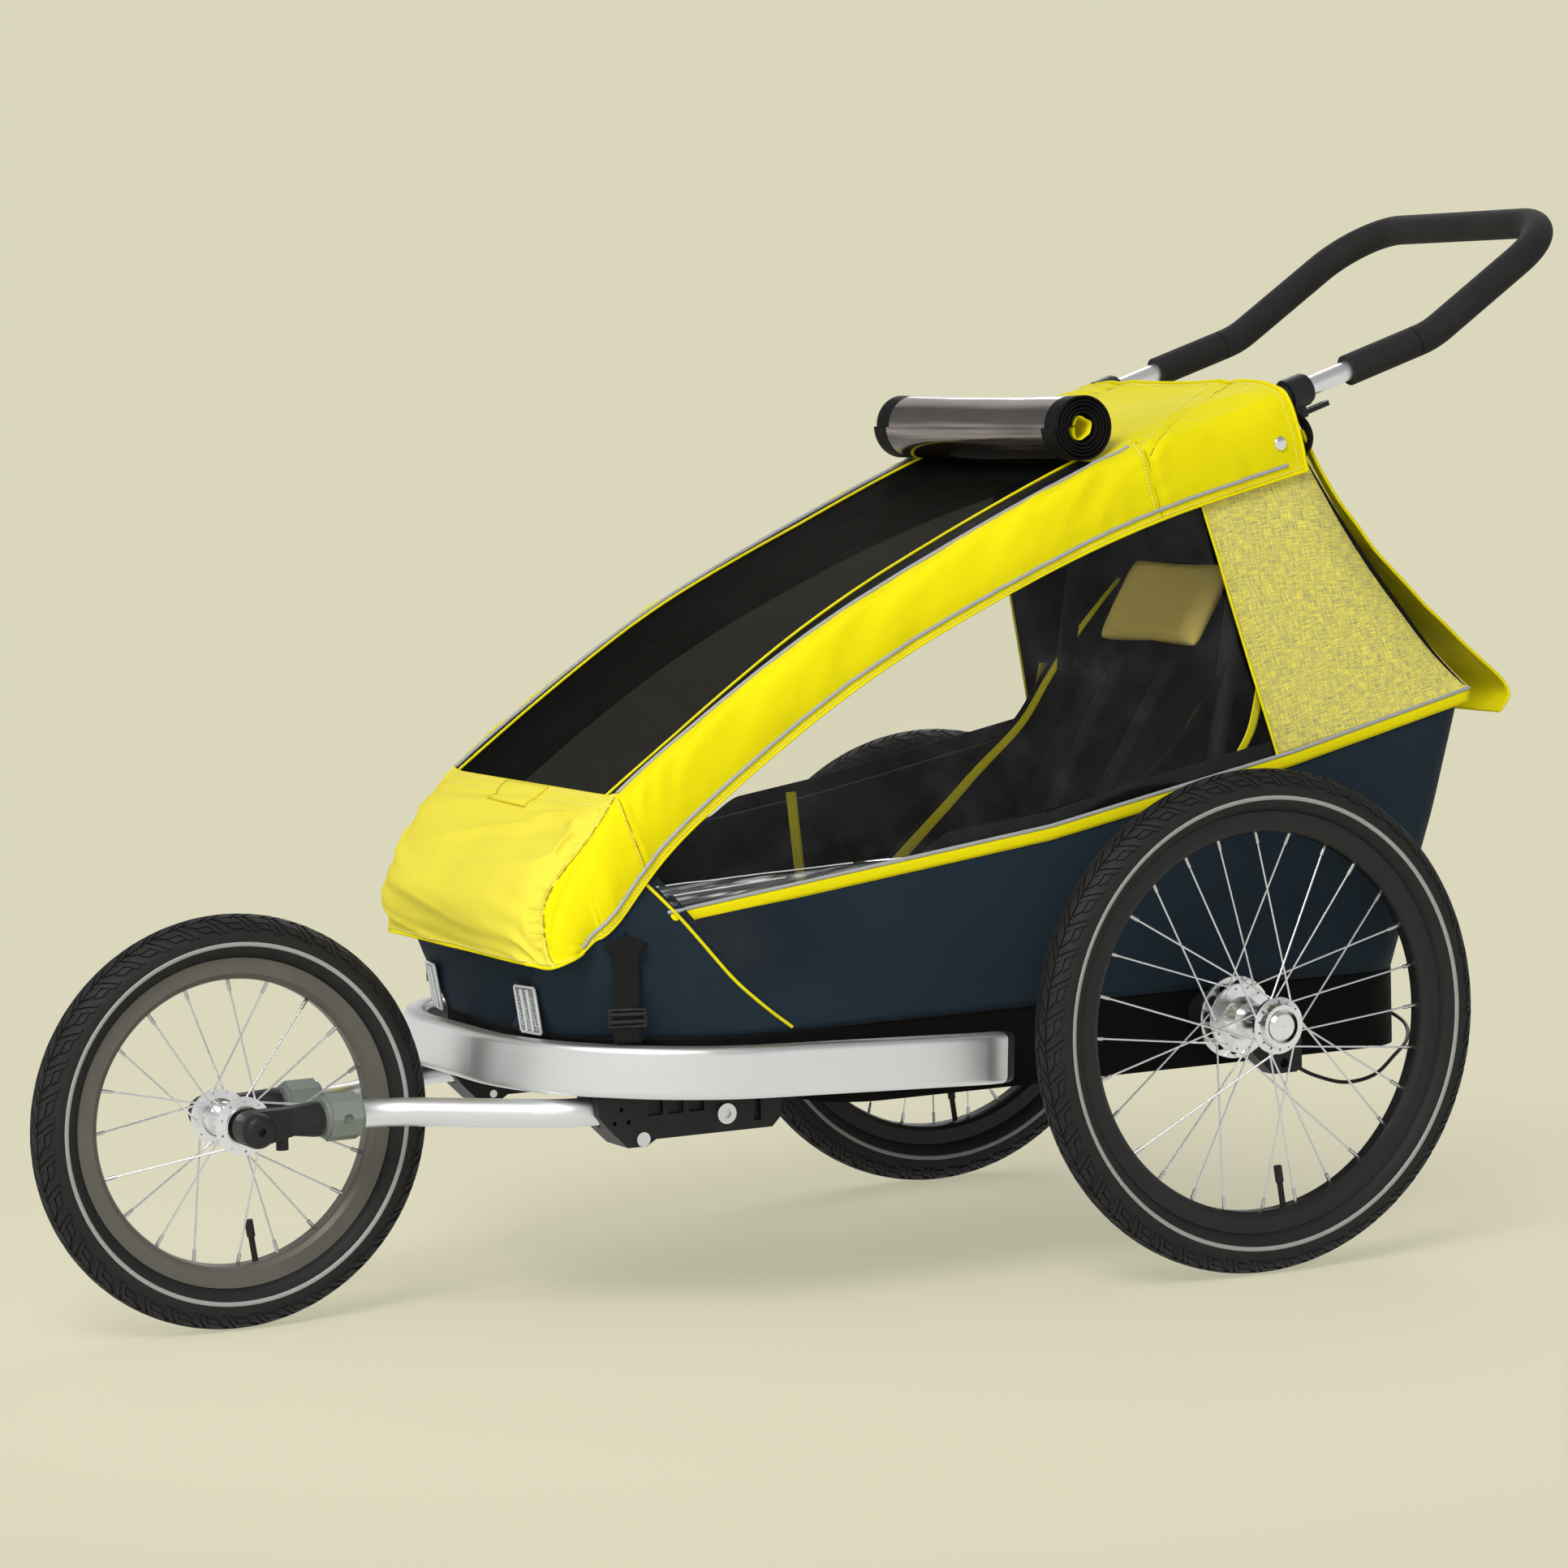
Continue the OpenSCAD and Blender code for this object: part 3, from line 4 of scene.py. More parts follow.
import bmesh
import bpy
import numpy as np
from bpy.props import FloatProperty, FloatVectorProperty, IntProperty, PointerProperty
from mathutils import Matrix, Vector
from mathutils.bvhtree import BVHTree


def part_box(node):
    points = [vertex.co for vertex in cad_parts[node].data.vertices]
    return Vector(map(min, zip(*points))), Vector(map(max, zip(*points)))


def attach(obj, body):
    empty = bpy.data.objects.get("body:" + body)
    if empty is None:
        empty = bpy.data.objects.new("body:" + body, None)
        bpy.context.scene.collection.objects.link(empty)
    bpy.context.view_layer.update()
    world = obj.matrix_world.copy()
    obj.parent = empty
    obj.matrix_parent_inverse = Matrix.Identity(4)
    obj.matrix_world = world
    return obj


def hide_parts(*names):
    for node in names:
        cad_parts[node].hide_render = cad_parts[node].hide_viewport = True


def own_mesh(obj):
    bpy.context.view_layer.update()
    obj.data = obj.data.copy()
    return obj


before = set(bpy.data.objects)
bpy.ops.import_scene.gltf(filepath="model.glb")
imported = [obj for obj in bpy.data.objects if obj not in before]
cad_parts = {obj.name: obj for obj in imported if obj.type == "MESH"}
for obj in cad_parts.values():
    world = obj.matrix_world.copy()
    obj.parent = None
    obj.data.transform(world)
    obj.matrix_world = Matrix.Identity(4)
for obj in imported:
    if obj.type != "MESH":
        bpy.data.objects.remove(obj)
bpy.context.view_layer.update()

bl_info = {
    "name": "Bicycle trailer looks",
    "version": (1, 0, 0),
    "blender": (4, 5, 0),
    "location": "View3D > Sidebar > Trailer",
    "description": "Cloth, film, foam, rubber and metal of a child bicycle trailer",
    "category": "Object",
}

AXLE_X = (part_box("left_tyre")[0].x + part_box("left_tyre")[1].x) / 2
REAR_R = 1000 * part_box("left_tyre")[1].z / 2
FRONT_R = 1000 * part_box("front_tyre")[1].z / 2
FRONT_X = 1000 * ((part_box("front_tyre")[0].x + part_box("front_tyre")[1].x) / 2 - AXLE_X)
HALF_TRACK = 1000 * (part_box("left_tyre")[0].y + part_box("left_tyre")[1].y) / 2
CHASSIS, ROOF = "chassis", "roof"
SIDES = ((1, "left"), (-1, "right"))
# Wheels by name, with their middles as x, y and z in millimetres.
WHEELS = (("left", (0, HALF_TRACK, REAR_R)), ("right", (0, -HALF_TRACK, REAR_R)),
          ("front", (FRONT_X, 0, FRONT_R)))
PALE = (0.80, 0.80, 0.79, 1)

# Camera fitted to the photo: place in millimetres, angles in degrees, focal length and width in pixels.
CAMERA_SPOT = [2609.2, 4371.3, 934.0]
CAMERA_ANGLES = (-117.3595, -5.2131, -1.5121)
CAMERA_FOCAL, CAMERA_WIDTH, SENSOR = 6041.26, 1932, 36

# Lamps: place, size and power.
LAMPS = (("key", (2.4, 2.2, 3.6), 2.0, 150), ("side", (1.7, 4.8, 1.2), 1.6, 64),
         ("front", (3.6, 0.4, 0.7), 2.0, 38), ("rim", (-2.4, -2.6, 3.0), 2.4, 62))
AIM = Vector((0, 0, 0.45))
# Strength of the soft surround, and how far the floor reaches each way in metres.
SURROUND, FLOOR_END = 0.39, 60

# Tyres in millimetres: the casing's middle below the tread's top, its radius and how much wider it is.
TREAD_TOP, CASING_R, CASING_WIDER = 23.5, 21.4, 1.06
# The foot of the tread blocks and how much wider they lie; depths of the pale ring, the rim and the nipples.
BLOCK_FOOT, BLOCK_WIDER = 20.6, 1.04
RING_DEPTH, RIM_DEPTH, NIPPLE_DEPTH = 27.2, 62, 75
# Rows of tread blocks: angles on the casing, then length, slant and shift as shares of the pitch.
TREAD_ROWS = ((1.5, 23, 0.58, 0.45, 0.0), (1.5, 23, 0.22, 0.45, 0.48), (27, 44, 0.46, -0.3, 0.05),
              (47, 60, 0.42, -0.2, -0.12), (27, 67, 0.15, -0.42, 0.42), (27, 67, 0.15, -0.42, 0.65))

# Axis of the rolled rain cover, and the foot, the turn and the lean of the side strap.
ROLL_X, ROLL_Z = 99, 837
STRAP_FOOT, STRAP_TURN, STRAP_LEAN = (634, 219, 273), math.radians(-21), 0.026
# Middle of the left front reflector, and how far it swings out and leans back.
LENS_PLACE, LENS_SWING, LENS_LEAN = [685, 112, 298], math.radians(10), math.radians(9)

# Finish of the parts whose shape stays.
FINISH_OF = {
    "silver": "bumper_bar jogger_arms push_bar",
    "dark_tube": "base_frame roof_hoop",
    "web": "rear_uprights",
    "plastic": "bumper_end_caps arm_receivers axle_housings brake_housings arm_dropouts axle_knobs"
               " handle_clamps left_fold_button right_fold_button left_clamp_lever right_clamp_lever",
    "grey": "arm_collars",
    "steel": "receiver_bolts rear_axles front_axle roof_pivot_pins left_brake_pin right_brake_pin"
             " left_bearings right_bearings front_bearings",
    "polished": "left_hub right_hub front_hub left_axle_button right_axle_button",
    "black_rim": "left_rim right_rim",
    "dark_rim": "front_rim",
    "left_spokes": "left_spokes",
    "right_spokes": "right_spokes",
    "front_spokes": "front_spokes_set",
    "red": "brake_pedal",
    "red_lens": "rear_reflectors",
    "tray": "floor_tray",
}

# Lines of the trailer in millimetres from the rear axle, as x and z in the side plane.
LOW_EDGE = [[-157, 788], [30, 742], [200, 680], [382, 591], [560, 469], [640, 386], [660, 371], [674, 359.5]]
TOP_EDGE = [[-137, 872], [46, 816], [226, 741], [414, 648], [600, 525], [656, 470], [694, 400], [702, 346]]
MID_LINE = [[-137, 876], [50, 820], [230, 744], [416, 652], [602, 524], [672, 470], [724, 404], [714, 350]]
BELT = [[-335, 559], [-100, 503], [180, 448], [585, 392]]
PANEL_REAR = [[-323, 557], [-268, 622], [-205, 712], [-152, 800]]
FLAP_LINE = [[-152, 826], [-196, 746], [-250, 682], [-330, 603], [-382, 552], [-366, 530]]

# Section of the cover: how far from its lower to its top edge, half width, and how far on to the middle line.
SECTION = [[0, 214, 0], [0.35, 216, 0], [0.7, 212, 0], [0.93, 204, 0], [1, 190, 0], [1, 178, 0.5],
           [1, 168, 0.75], [1, 140, 0.93], [1, 70, 1], [1, 0, 1]]

# The cover's last place and last station, its rear edge, its opening, the top of its side bands,
# and about how many millimetres a station and a place are apart.
LAST, END_T = 18, 7
REAR_T, OPEN_T, NOSE_T = 0.1, 1.22, 4.26
BAND_TOP = 4.1
STATION, PLACE = 170, 24

# Outlines of the tub as x, half width and corner radius, the height of its floor and where its nose starts.
TUB_LOW = [[682, 242, 184], [490, 242, 0], [470, 241, 0], [180, 238, 0], [-100, 238, 0], [-250, 238, 60]]
TUB_HIGH = [[694, 207, 40], [612, 209, 0], [580, 216, 0], [180, 242, 0], [-100, 244, 0], [-335, 240, 50]]
TUB_FLOOR, TUB_NOSE = 273.2, 590

# Route of the left brake cable as x, y and z.
CABLE = [[-87, 262, 190], [-110, 264, 178], [-145, 266, 168], [-182, 264, 172], [-212, 256, 188],
         [-242, 236, 200], [-262, 202, 212], [-268, 150, 222], [-268, 95, 232], [-266, 50, 240]]

# Seams of the left side of the cover, as station along it and place across it.
ROOF_SEAM = [[0.96, 2.5], [0.88, 3.2], [0.78, 4.1], [0.68, 5.2], [0.59, 6.2], [0.34, 7.2], [0.12, 7.5]]
BAND_SEAM = [[0.95, 4.5], [0.97, 3.4], [0.98, 2.4], [0.99, 1.4], [0.98, 0.1]]
CORNER_SEAM = [[4.3, 3.9], [4.7, 3.6], [5.2, 3.9], [5.46, 4.2], [5.78, 4.4], [6.06, 4.3], [6.44, 3.9],
               [6.8, 3.1], [6.98, 2.2]]
GUSSET_SEAM = [[4.3, 3.5], [4.37, 2.3], [4.41, 1.3], [4.43, 0.1]]
ZIP_LINE = [[1.22, 6.5], [2.05, 6.45], [2.5, 6.2], [3.2, 5.6], [3.7, 5.2], [4.25, 5.3]]


# Numbers and curves

def metres(points):
    """Points in millimetres from the rear axle, as points of the row frame in metres."""
    return np.asarray(points, float) / 1000 + np.array([AXLE_X, 0, 0])


def spline(points, t):
    """Smooth curve through points, t counted in points."""
    p, t = np.asarray(points, float), np.asarray(t, float)
    i = np.clip(np.floor(t).astype(int), 0, len(p) - 2)
    f = (t - i)[..., None]
    a, b, c, d = p[np.maximum(i - 1, 0)], p[i], p[i + 1], p[np.minimum(i + 2, len(p) - 1)]
    bow = f * f * (a - 2.5 * b + 2 * c - 0.5 * d)
    return b + 0.5 * f * (c - a) + bow + 0.5 * f ** 3 * (3 * (b - c) + d - a)


def run(points, count):
    """Count points along the smooth curve through points."""
    return spline(points, np.linspace(0, len(points) - 1, count))


def lookup(x, table):
    """Straight-line lookup in rows of x and value."""
    rows = sorted([list(r[:2]) for r in table])
    return np.interp(x, [r[0] for r in rows], [r[1] for r in rows])


def soft_step(x, low, high):
    """0 below low, 1 above high, smooth between."""
    f = np.clip((np.asarray(x, float) - low) / (high - low), 0, 1)
    return f * f * (3 - 2 * f)


def bell(x, width):
    """1 at zero, fading within about width."""
    return np.exp(-(np.asarray(x, float) / width) ** 2)


def ripple(u, v, seed):
    """Smooth random height over a plane of cells, from -1 to 1, the same each time."""
    many = 64
    cells = np.random.default_rng(seed).uniform(-1, 1, (many, many))
    u, v = np.broadcast_arrays(np.asarray(u, float), np.asarray(v, float))
    i, j = np.floor(u).astype(int), np.floor(v).astype(int)
    f, g = soft_step(u - i, 0, 1), soft_step(v - j, 0, 1)

    def row(b):
        return cells[i % many, b % many] * (1 - f) + cells[(i + 1) % many, b % many] * f

    return row(j) * (1 - g) + row(j + 1) * g


def crease(u, v, seed):
    """Rounded ridges between sharper valleys, as cloth creases, from -1 to 1."""
    return 1 - 2 * np.sqrt(ripple(u, v, seed) ** 2 + 0.01)


def normals_of(grid):
    """Unit normals of a grid of points."""
    n = np.cross(np.gradient(grid, axis=0), np.gradient(grid, axis=1))
    return n / np.maximum(np.linalg.norm(n, axis=-1, keepdims=True), 1e-9)


def spans(grid):
    """Distances along the columns and along the rows of a grid, from its first corner."""
    across = np.cumsum(np.linalg.norm(np.diff(grid, axis=1, prepend=grid[:, :1]), axis=-1), axis=1)
    along = np.cumsum(np.linalg.norm(np.diff(grid, axis=0, prepend=grid[:1]), axis=-1), axis=0)
    return across, along


def crossed(down, across):
    """Two ranges of start, end and count, as a column and a row that fit each other."""
    return np.linspace(*down)[:, None], np.linspace(*across)[None, :]


def points_of(x, y, z):
    """Points from three arrays that fit each other."""
    return np.stack(np.broadcast_arrays(x, y, z), -1)


def cover_edge(x):
    """Height of the lower edge of the roof cover."""
    edge = spline(LOW_EDGE, np.linspace(0, END_T, 400))
    return np.interp(x, edge[:, 0], edge[:, 1])


# Shader trees

class Wire:
    """A socket of a shader tree; sums, products and powers of wires add their Math nodes."""

    def __init__(self, tree, socket):
        self.tree, self.socket = tree, socket

    def math(self, operation, *others, flip=False):
        values = [*others, self] if flip else [self, *others]
        return add(self.tree, "ShaderNodeMath", dict(enumerate(values)), {"operation": operation})

    def sine(self, length):
        """A wave of a given length along this wire."""
        return (self * (2 * math.pi / length)).math("SINE")

    def within(self, low, high):
        return self.math("MINIMUM", high).math("MAXIMUM", low)

    def __add__(self, other):
        return self.math("ADD", other)

    def __sub__(self, other):
        return self.math("SUBTRACT", other)

    def __rsub__(self, other):
        return self.math("SUBTRACT", other, flip=True)

    def __mul__(self, other):
        return self.math("MULTIPLY", other)

    def __truediv__(self, other):
        return self.math("DIVIDE", other)

    def __rtruediv__(self, other):
        return self.math("DIVIDE", other, flip=True)

    def __pow__(self, other):
        return self.math("POWER", other)

    def __gt__(self, other):
        return self.math("GREATER_THAN", other)


def add(tree, kind, sockets=None, settings=None, out=0):
    """A node of any kind: its settings first, then the values or links of its sockets."""
    node = tree.nodes.new(kind)
    for name, value in (settings or {}).items():
        setattr(node, name, value)
    for name, value in (sockets or {}).items():
        if isinstance(value, Wire):
            tree.links.new(value.socket, node.inputs[name])
        else:
            node.inputs[name].default_value = value
    return Wire(tree, node.outputs[out])


def rays(tree):
    """Wires that tell rays seen by the camera, straight or through film, and mirrored rays."""
    path = tree.nodes.new("ShaderNodeLightPath")
    straight, through, mirrored = (Wire(tree, path.outputs[f"Is {kind} Ray"])
                                   for kind in ("Camera", "Transmission", "Glossy"))
    return straight.math("MAXIMUM", through), mirrored


class Finish:
    """One procedural material: its tree, its surface shader and what feeds it."""

    def __init__(self, name, **constants):
        self.material = bpy.data.materials.new(name)
        self.material.use_nodes = True
        self.tree = self.material.node_tree
        self.shader = self.tree.nodes["Principled BSDF"]
        for key, value in constants.items():
            self.shader.inputs[key.replace("_", " ")].default_value = value

    def node(self, kind, sockets=None, settings=None, out=0):
        return add(self.tree, kind, sockets, settings, out)

    def place(self):
        """Where a point lies in the row frame, in metres, as x, y and z."""
        spot = self.node("ShaderNodeTexCoord", out=3)
        return spot, [self.node("ShaderNodeSeparateXYZ", {0: spot}, out=k) for k in range(3)]

    def cut(self):
        """Where a point lies on the flat cut of its cloth, in metres, as u and v."""
        spot = self.node("ShaderNodeUVMap", settings={"uv_map": "cut"})
        return spot, [self.node("ShaderNodeSeparateXYZ", {0: spot}, out=k) for k in range(2)]

    def noise(self, spot, scale, detail=2.0, rough=0.5):
        return self.node("ShaderNodeTexNoise", {
            "Vector": spot, "Scale": scale, "Detail": detail, "Roughness": rough})

    def stretched(self, spot, scale):
        return self.node("ShaderNodeMapping", {"Vector": spot, "Scale": scale})

    def blend(self, first, second, share):
        """Mix of two colours, each a colour or a wire."""
        pair = {6: first, 7: second, 0: share}
        pair = {k: (*v, 1) if isinstance(v, tuple) and len(v) == 3 else v for k, v in pair.items()}
        return self.node("ShaderNodeMix", pair, {"data_type": "RGBA"}, 2)

    def feed(self, socket, wire):
        self.tree.links.new(wire.socket, self.shader.inputs[socket])

    def tint(self, colour, dark, light, share):
        """Base colour between a darker and a lighter shade of one colour."""
        self.feed("Base Color", self.blend(shade(colour, dark), shade(colour, light), share))

    def relief(self, height, strength):
        return self.node("ShaderNodeBump", {"Strength": strength, "Distance": 1.0, "Height": height})

    def bump(self, height, strength):
        self.feed("Normal", self.relief(height, strength))

    def close(self, shader):
        """Puts another shader on the material's output."""
        self.tree.links.new(shader.socket, self.tree.nodes["Material Output"].inputs[0])


def shade(colour, by):
    """A colour made darker or lighter."""
    return tuple(min(1.0, c * by) for c in colour)


def woven(name, colour, rough=0.7, thread=0.0011, crease=1.0, worn=0.12, relief=0.00004, gloss=0.06):
    """Coated plain weave: crossing threads, soft creases and slight fading."""
    f = Finish(name, Specular_IOR_Level=gloss, Sheen_Weight=gloss / 6, Sheen_Roughness=0.5)
    spot, _ = f.place()
    _, (u, v) = f.cut()
    weave = u.sine(thread) * v.sine(thread)
    folds = f.noise(spot, 16.0, 3.0, 0.55)
    fade = f.noise(spot, 5.0, 2.0)
    f.feed("Base Color", f.blend(f.blend(shade(colour, 1 - worn), shade(colour, 1 + worn), fade),
                                 shade(colour, 0.8), weave * 0.25 + 0.25))
    f.feed("Roughness", weave * 0.06 + folds * 0.15 + (rough - 0.08))
    f.bump(weave * relief + folds * (0.004 * crease), 0.6)
    return f.material


def melange(name, first, second):
    """Flecked weave of two yarns, uneven along both threads."""
    f = Finish(name, Roughness=0.85, Specular_IOR_Level=0.2, Sheen_Weight=0.2)
    spot, (u, v) = f.cut()
    warp = f.noise(f.stretched(spot, (800, 70, 1)), 1.0, 1.5, 0.55)
    weft = f.noise(f.stretched(spot, (70, 800, 1)), 1.0, 1.5, 0.55)
    fleck = (((warp + weft) * 0.5 - 0.36) * 4.2).within(0.0, 1.0)
    f.feed("Base Color", f.blend(second, first, fleck))
    f.bump(u.sine(0.0014) * v.sine(0.0014) * 0.0002 + fleck * 0.0003, 0.7)
    return f.material


def netting(name, colour):
    """Fine open mesh: threads on a slanted grid with small holes between."""
    f = Finish(name, Roughness=0.7, Specular_IOR_Level=0.015)
    spot, (u, v) = f.cut()
    net = (u + v).sine(0.0024) * (u - v).sine(0.0024)
    hole = (net.math("ABSOLUTE") - 0.55) * 6.0
    cloud = f.noise(f.stretched(spot, (3, 9, 1)), 3.0, 2.0)
    f.tint(colour, 0.6, 2.2, cloud)
    f.feed("Alpha", 1.0 - hole.within(0.0, 1.0) * 0.1)
    f.bump(net * 0.0001, 0.5)
    return f.material


def film(name, gloss, streaks=False):
    """Clear window film: see-through and glossy, with smears or, where it bags out, with streaks where it
    mirrors far more, as painted highlights.
    """
    f = Finish(name)
    spot, _ = f.place()
    smear_and_painted_streaks = f.noise(spot, 12.0, 6.0, 0.65) ** 4 * 0.14
    if streaks:
        # Painted highlights: streaks along the cut where the film turns nearly to a mirror.
        along = f.noise(f.stretched(f.cut()[0], (150, 16, 1)), 1.0, 2.0)
        smear_and_painted_streaks = ((along - 0.5) * 7.0).within(0.0, 0.8)
    wave = f.relief(f.noise(spot, 7.0, 2.0) * 0.004, 0.5)
    facing = f.node("ShaderNodeLayerWeight", {"Blend": 0.5, "Normal": wave}, out=1)
    clear = f.node("ShaderNodeBsdfTransparent", {"Color": (0.985, 0.985, 0.98, 1)})
    shine = f.node("ShaderNodeBsdfGlossy", {"Color": (0.9, 0.9, 0.9, 1), "Roughness": 0.08, "Normal": wave})
    share = ((facing ** 5 * 0.9 + 0.03) * gloss + smear_and_painted_streaks).math("MINIMUM", 1.0)
    f.close(f.node("ShaderNodeMixShader", {0: share, 1: clear, 2: shine}))
    f.tree.nodes.remove(f.shader)
    return f.material


def mirror_film(name, above, below, axis_z, radius):
    """Tinted film wound on itself, nearly a mirror, with a painted reflection in its colour: pale above, dark
    brown below, a dark band and bright streaks along the roll.
    """
    f = Finish(name, Metallic=0.75, Roughness=0.14, Coat_Weight=0.6, Coat_Roughness=0.05)
    spot, (_, _, z) = f.place()
    wave = f.noise(f.stretched(spot, (26, 5, 26)), 1.0, 2.0)
    streak = f.noise(f.stretched(spot, (60, 3, 120)), 1.0, 2.0, 0.55)
    # Painted reflection: the colour goes from dark brown below the axis to pale above it, darker in a band and
    # streaked along the roll.
    height = (z - axis_z) / radius
    band = (height - 0.42) * 5.0
    dark = 1.0 / (band * band * band * band + 1.0)
    painted_reflection = (height * 0.9 + 0.42 - dark * 0.9 + (streak - 0.5) * 2.6).within(0.0, 1.0)
    f.feed("Base Color", f.blend(below, above, painted_reflection))
    f.bump(wave * 0.006, 0.5)
    return f.material


def metal(name, colour, rough, streak, worn=0.08):
    """Brushed or drawn metal: fine streaks along one way, and cloudy roughness."""
    f = Finish(name, Metallic=1.0)
    spot, _ = f.place()
    lines = f.noise(f.stretched(spot, streak), 1.0, 3.0, 0.6)
    cloud = f.noise(spot, 22.0, 3.0)
    f.tint(colour, 1 - worn, 1 + worn, lines)
    f.feed("Roughness", lines * 0.1 + cloud * 0.08 + (rough - 0.09))
    f.bump(lines * 0.00005, 0.35)
    return f.material


def coated(name, colour, rough, grain=900.0, metallic=0.0, coat=0.0):
    """Powder coat, anodising or moulded plastic: fine even grain and a few duller patches."""
    f = Finish(name, Metallic=metallic, Coat_Weight=coat, Specular_IOR_Level=0.24)
    spot, _ = f.place()
    fine = f.noise(spot, grain, 2.0)
    dust = f.noise(spot, 14.0, 4.0, 0.6)
    f.tint(colour, 0.82, 1.25, dust)
    f.feed("Roughness", fine * 0.1 + dust * 0.15 + (rough - 0.12))
    f.bump(fine * 0.0001, 0.5)
    return f.material


def foam(name, colour):
    """Closed-cell foam: matt, with pores and rubbed places."""
    f = Finish(name, Specular_IOR_Level=0.15, Sheen_Weight=0.03)
    spot, _ = f.place()
    pores = f.node("ShaderNodeTexVoronoi", {"Vector": spot, "Scale": 900.0})
    rub = f.noise(spot, 20.0, 3.0)
    f.tint(colour, 0.75, 1.5, rub)
    f.feed("Roughness", pores * 0.2 + rub * 0.1 + 0.68)
    f.bump(pores * 0.0005, 0.5)
    return f.material


def rubber(name, colour):
    """Tyre rubber: matt with fine grain, greyer where it is dusty."""
    f = Finish(name, Specular_IOR_Level=0.25)
    spot, _ = f.place()
    grain = f.noise(spot, 700.0, 2.0)
    dust = f.noise(spot, 12.0, 4.0, 0.65)
    f.tint(colour, 0.8, 1.6, dust)
    f.feed("Roughness", grain * 0.12 + dust * 0.14 + 0.5)
    f.bump(grain * 0.0002, 0.4)
    return f.material


def webbing(name, colour):
    """Woven strap: ribs along it and fine cross threads."""
    f = Finish(name, Roughness=0.72, Specular_IOR_Level=0.15)
    _, (u, v) = f.cut()
    ribs = u.sine(0.0028) * 0.5 + v.sine(0.0012) * 0.5
    f.tint(colour, 0.6, 1.7, ribs * 0.5 + 0.5)
    f.bump(ribs * 0.0003, 0.6)
    return f.material


def prisms(name, colour):
    """Reflector lens: a close grid of small corner prisms under clear plastic."""
    f = Finish(name, Coat_Weight=1.0, Coat_Roughness=0.04, Metallic=0.4)
    spot, (_, y, z) = f.place()
    cells = y.sine(0.0034).math("ABSOLUTE") + z.sine(0.0034).math("ABSOLUTE")
    glint = f.noise(spot, 420.0, 1.0)
    f.tint(colour, 0.55, 1.25, cells * 0.5)
    f.feed("Roughness", glint * 0.3 + 0.08)
    f.bump(cells * 0.0012 + glint * 0.0006, 0.9)
    return f.material


def glowing(name, colour, rough):
    """Reflective tape and piping: pale, slightly metallic, with a fine bead texture."""
    f = Finish(name, Metallic=0.1, Specular_IOR_Level=0.4)
    spot, _ = f.place()
    beads = f.node("ShaderNodeTexVoronoi", {"Vector": spot, "Scale": 1400.0})
    f.tint(colour, 0.85, 1.1, beads)
    f.feed("Roughness", beads * 0.2 + rough)
    f.bump(beads * 0.0002, 0.4)
    return f.material


def spoke_metal(name, centre_x, centre_z, nipple_from):
    """Bright spokes whose ends, past a radius from the wheel's middle, are dark nipples."""
    f = Finish(name, Metallic=1.0)
    spot, (x, _, z) = f.place()
    radius = ((x - centre_x) * (x - centre_x) + (z - centre_z) * (z - centre_z)).math("SQRT")
    end = radius > nipple_from
    streak = f.noise(spot, 300.0, 2.0)
    f.feed("Base Color", f.blend((0.78, 0.78, 0.78), (0.62, 0.61, 0.58), end))
    f.feed("Roughness", streak * 0.12 + 0.2)
    return f.material


FINISHES = {}


def finish(name):
    """A material by its name."""
    return FINISHES[name]


# Geometry trees

def tree_with(name, *inputs):
    """An empty geometry tree with named inputs besides its geometry, and its two end nodes."""
    tree = bpy.data.node_groups.new(name, "GeometryNodeTree")
    tree.interface.new_socket("Geometry", in_out="INPUT", socket_type="NodeSocketGeometry")
    for label, kind in inputs:
        tree.interface.new_socket(label, in_out="INPUT", socket_type="NodeSocket" + kind)
    tree.interface.new_socket("Geometry", in_out="OUTPUT", socket_type="NodeSocketGeometry")
    source = tree.nodes.new("NodeGroupInput")
    return tree, {s.name: Wire(tree, s) for s in source.outputs if s.name}


def close_tree(tree, made, material):
    """Ends a tree: instances made real, then the material, then the output."""
    made = add(tree, "GeometryNodeRealizeInstances", {"Geometry": made})
    made = add(tree, "GeometryNodeSetMaterial", {"Geometry": made, "Material": material})
    end = tree.nodes.new("NodeGroupOutput")
    tree.links.new(made.socket, end.inputs[0])
    return tree


def piping_tree():
    """Round piping along lines."""
    tree, have = tree_with("piping", ("Radius", "Float"), ("Sides", "Int"), ("Material", "Material"))
    line = add(tree, "GeometryNodeMeshToCurve", {"Mesh": have["Geometry"]})
    ring = add(tree, "GeometryNodeCurvePrimitiveCircle", {
        "Radius": have["Radius"], "Resolution": have["Sides"]})
    tube = add(tree, "GeometryNodeCurveToMesh", {"Curve": line, "Profile Curve": ring, "Fill Caps": True})
    tube = add(tree, "GeometryNodeSetShadeSmooth", {"Geometry": tube})
    return close_tree(tree, tube, have["Material"])


def stitch_tree():
    """Sewn thread: one small stitch at each pitch along lines."""
    tree, have = tree_with("stitches", ("Pitch", "Float"), ("Thread", "Float"), ("Material", "Material"))
    line = add(tree, "GeometryNodeMeshToCurve", {"Mesh": have["Geometry"]})
    line = add(tree, "GeometryNodeResampleCurve", {"Curve": line, "Length": have["Pitch"]},
               {"mode": "LENGTH"})
    ball = add(tree, "GeometryNodeMeshUVSphere", {"Segments": 5, "Rings": 4, "Radius": 1.0})
    way = add(tree, "GeometryNodeInputTangent")
    turn = add(tree, "FunctionNodeAlignRotationToVector", {"Vector": way}, {"axis": "Z"})
    size = add(tree, "ShaderNodeCombineXYZ", {0: have["Thread"], 1: have["Thread"], 2: have["Pitch"] * 0.38})
    made = add(tree, "GeometryNodeInstanceOnPoints", {
        "Points": line, "Instance": ball, "Rotation": turn, "Scale": size})
    return close_tree(tree, made, have["Material"])


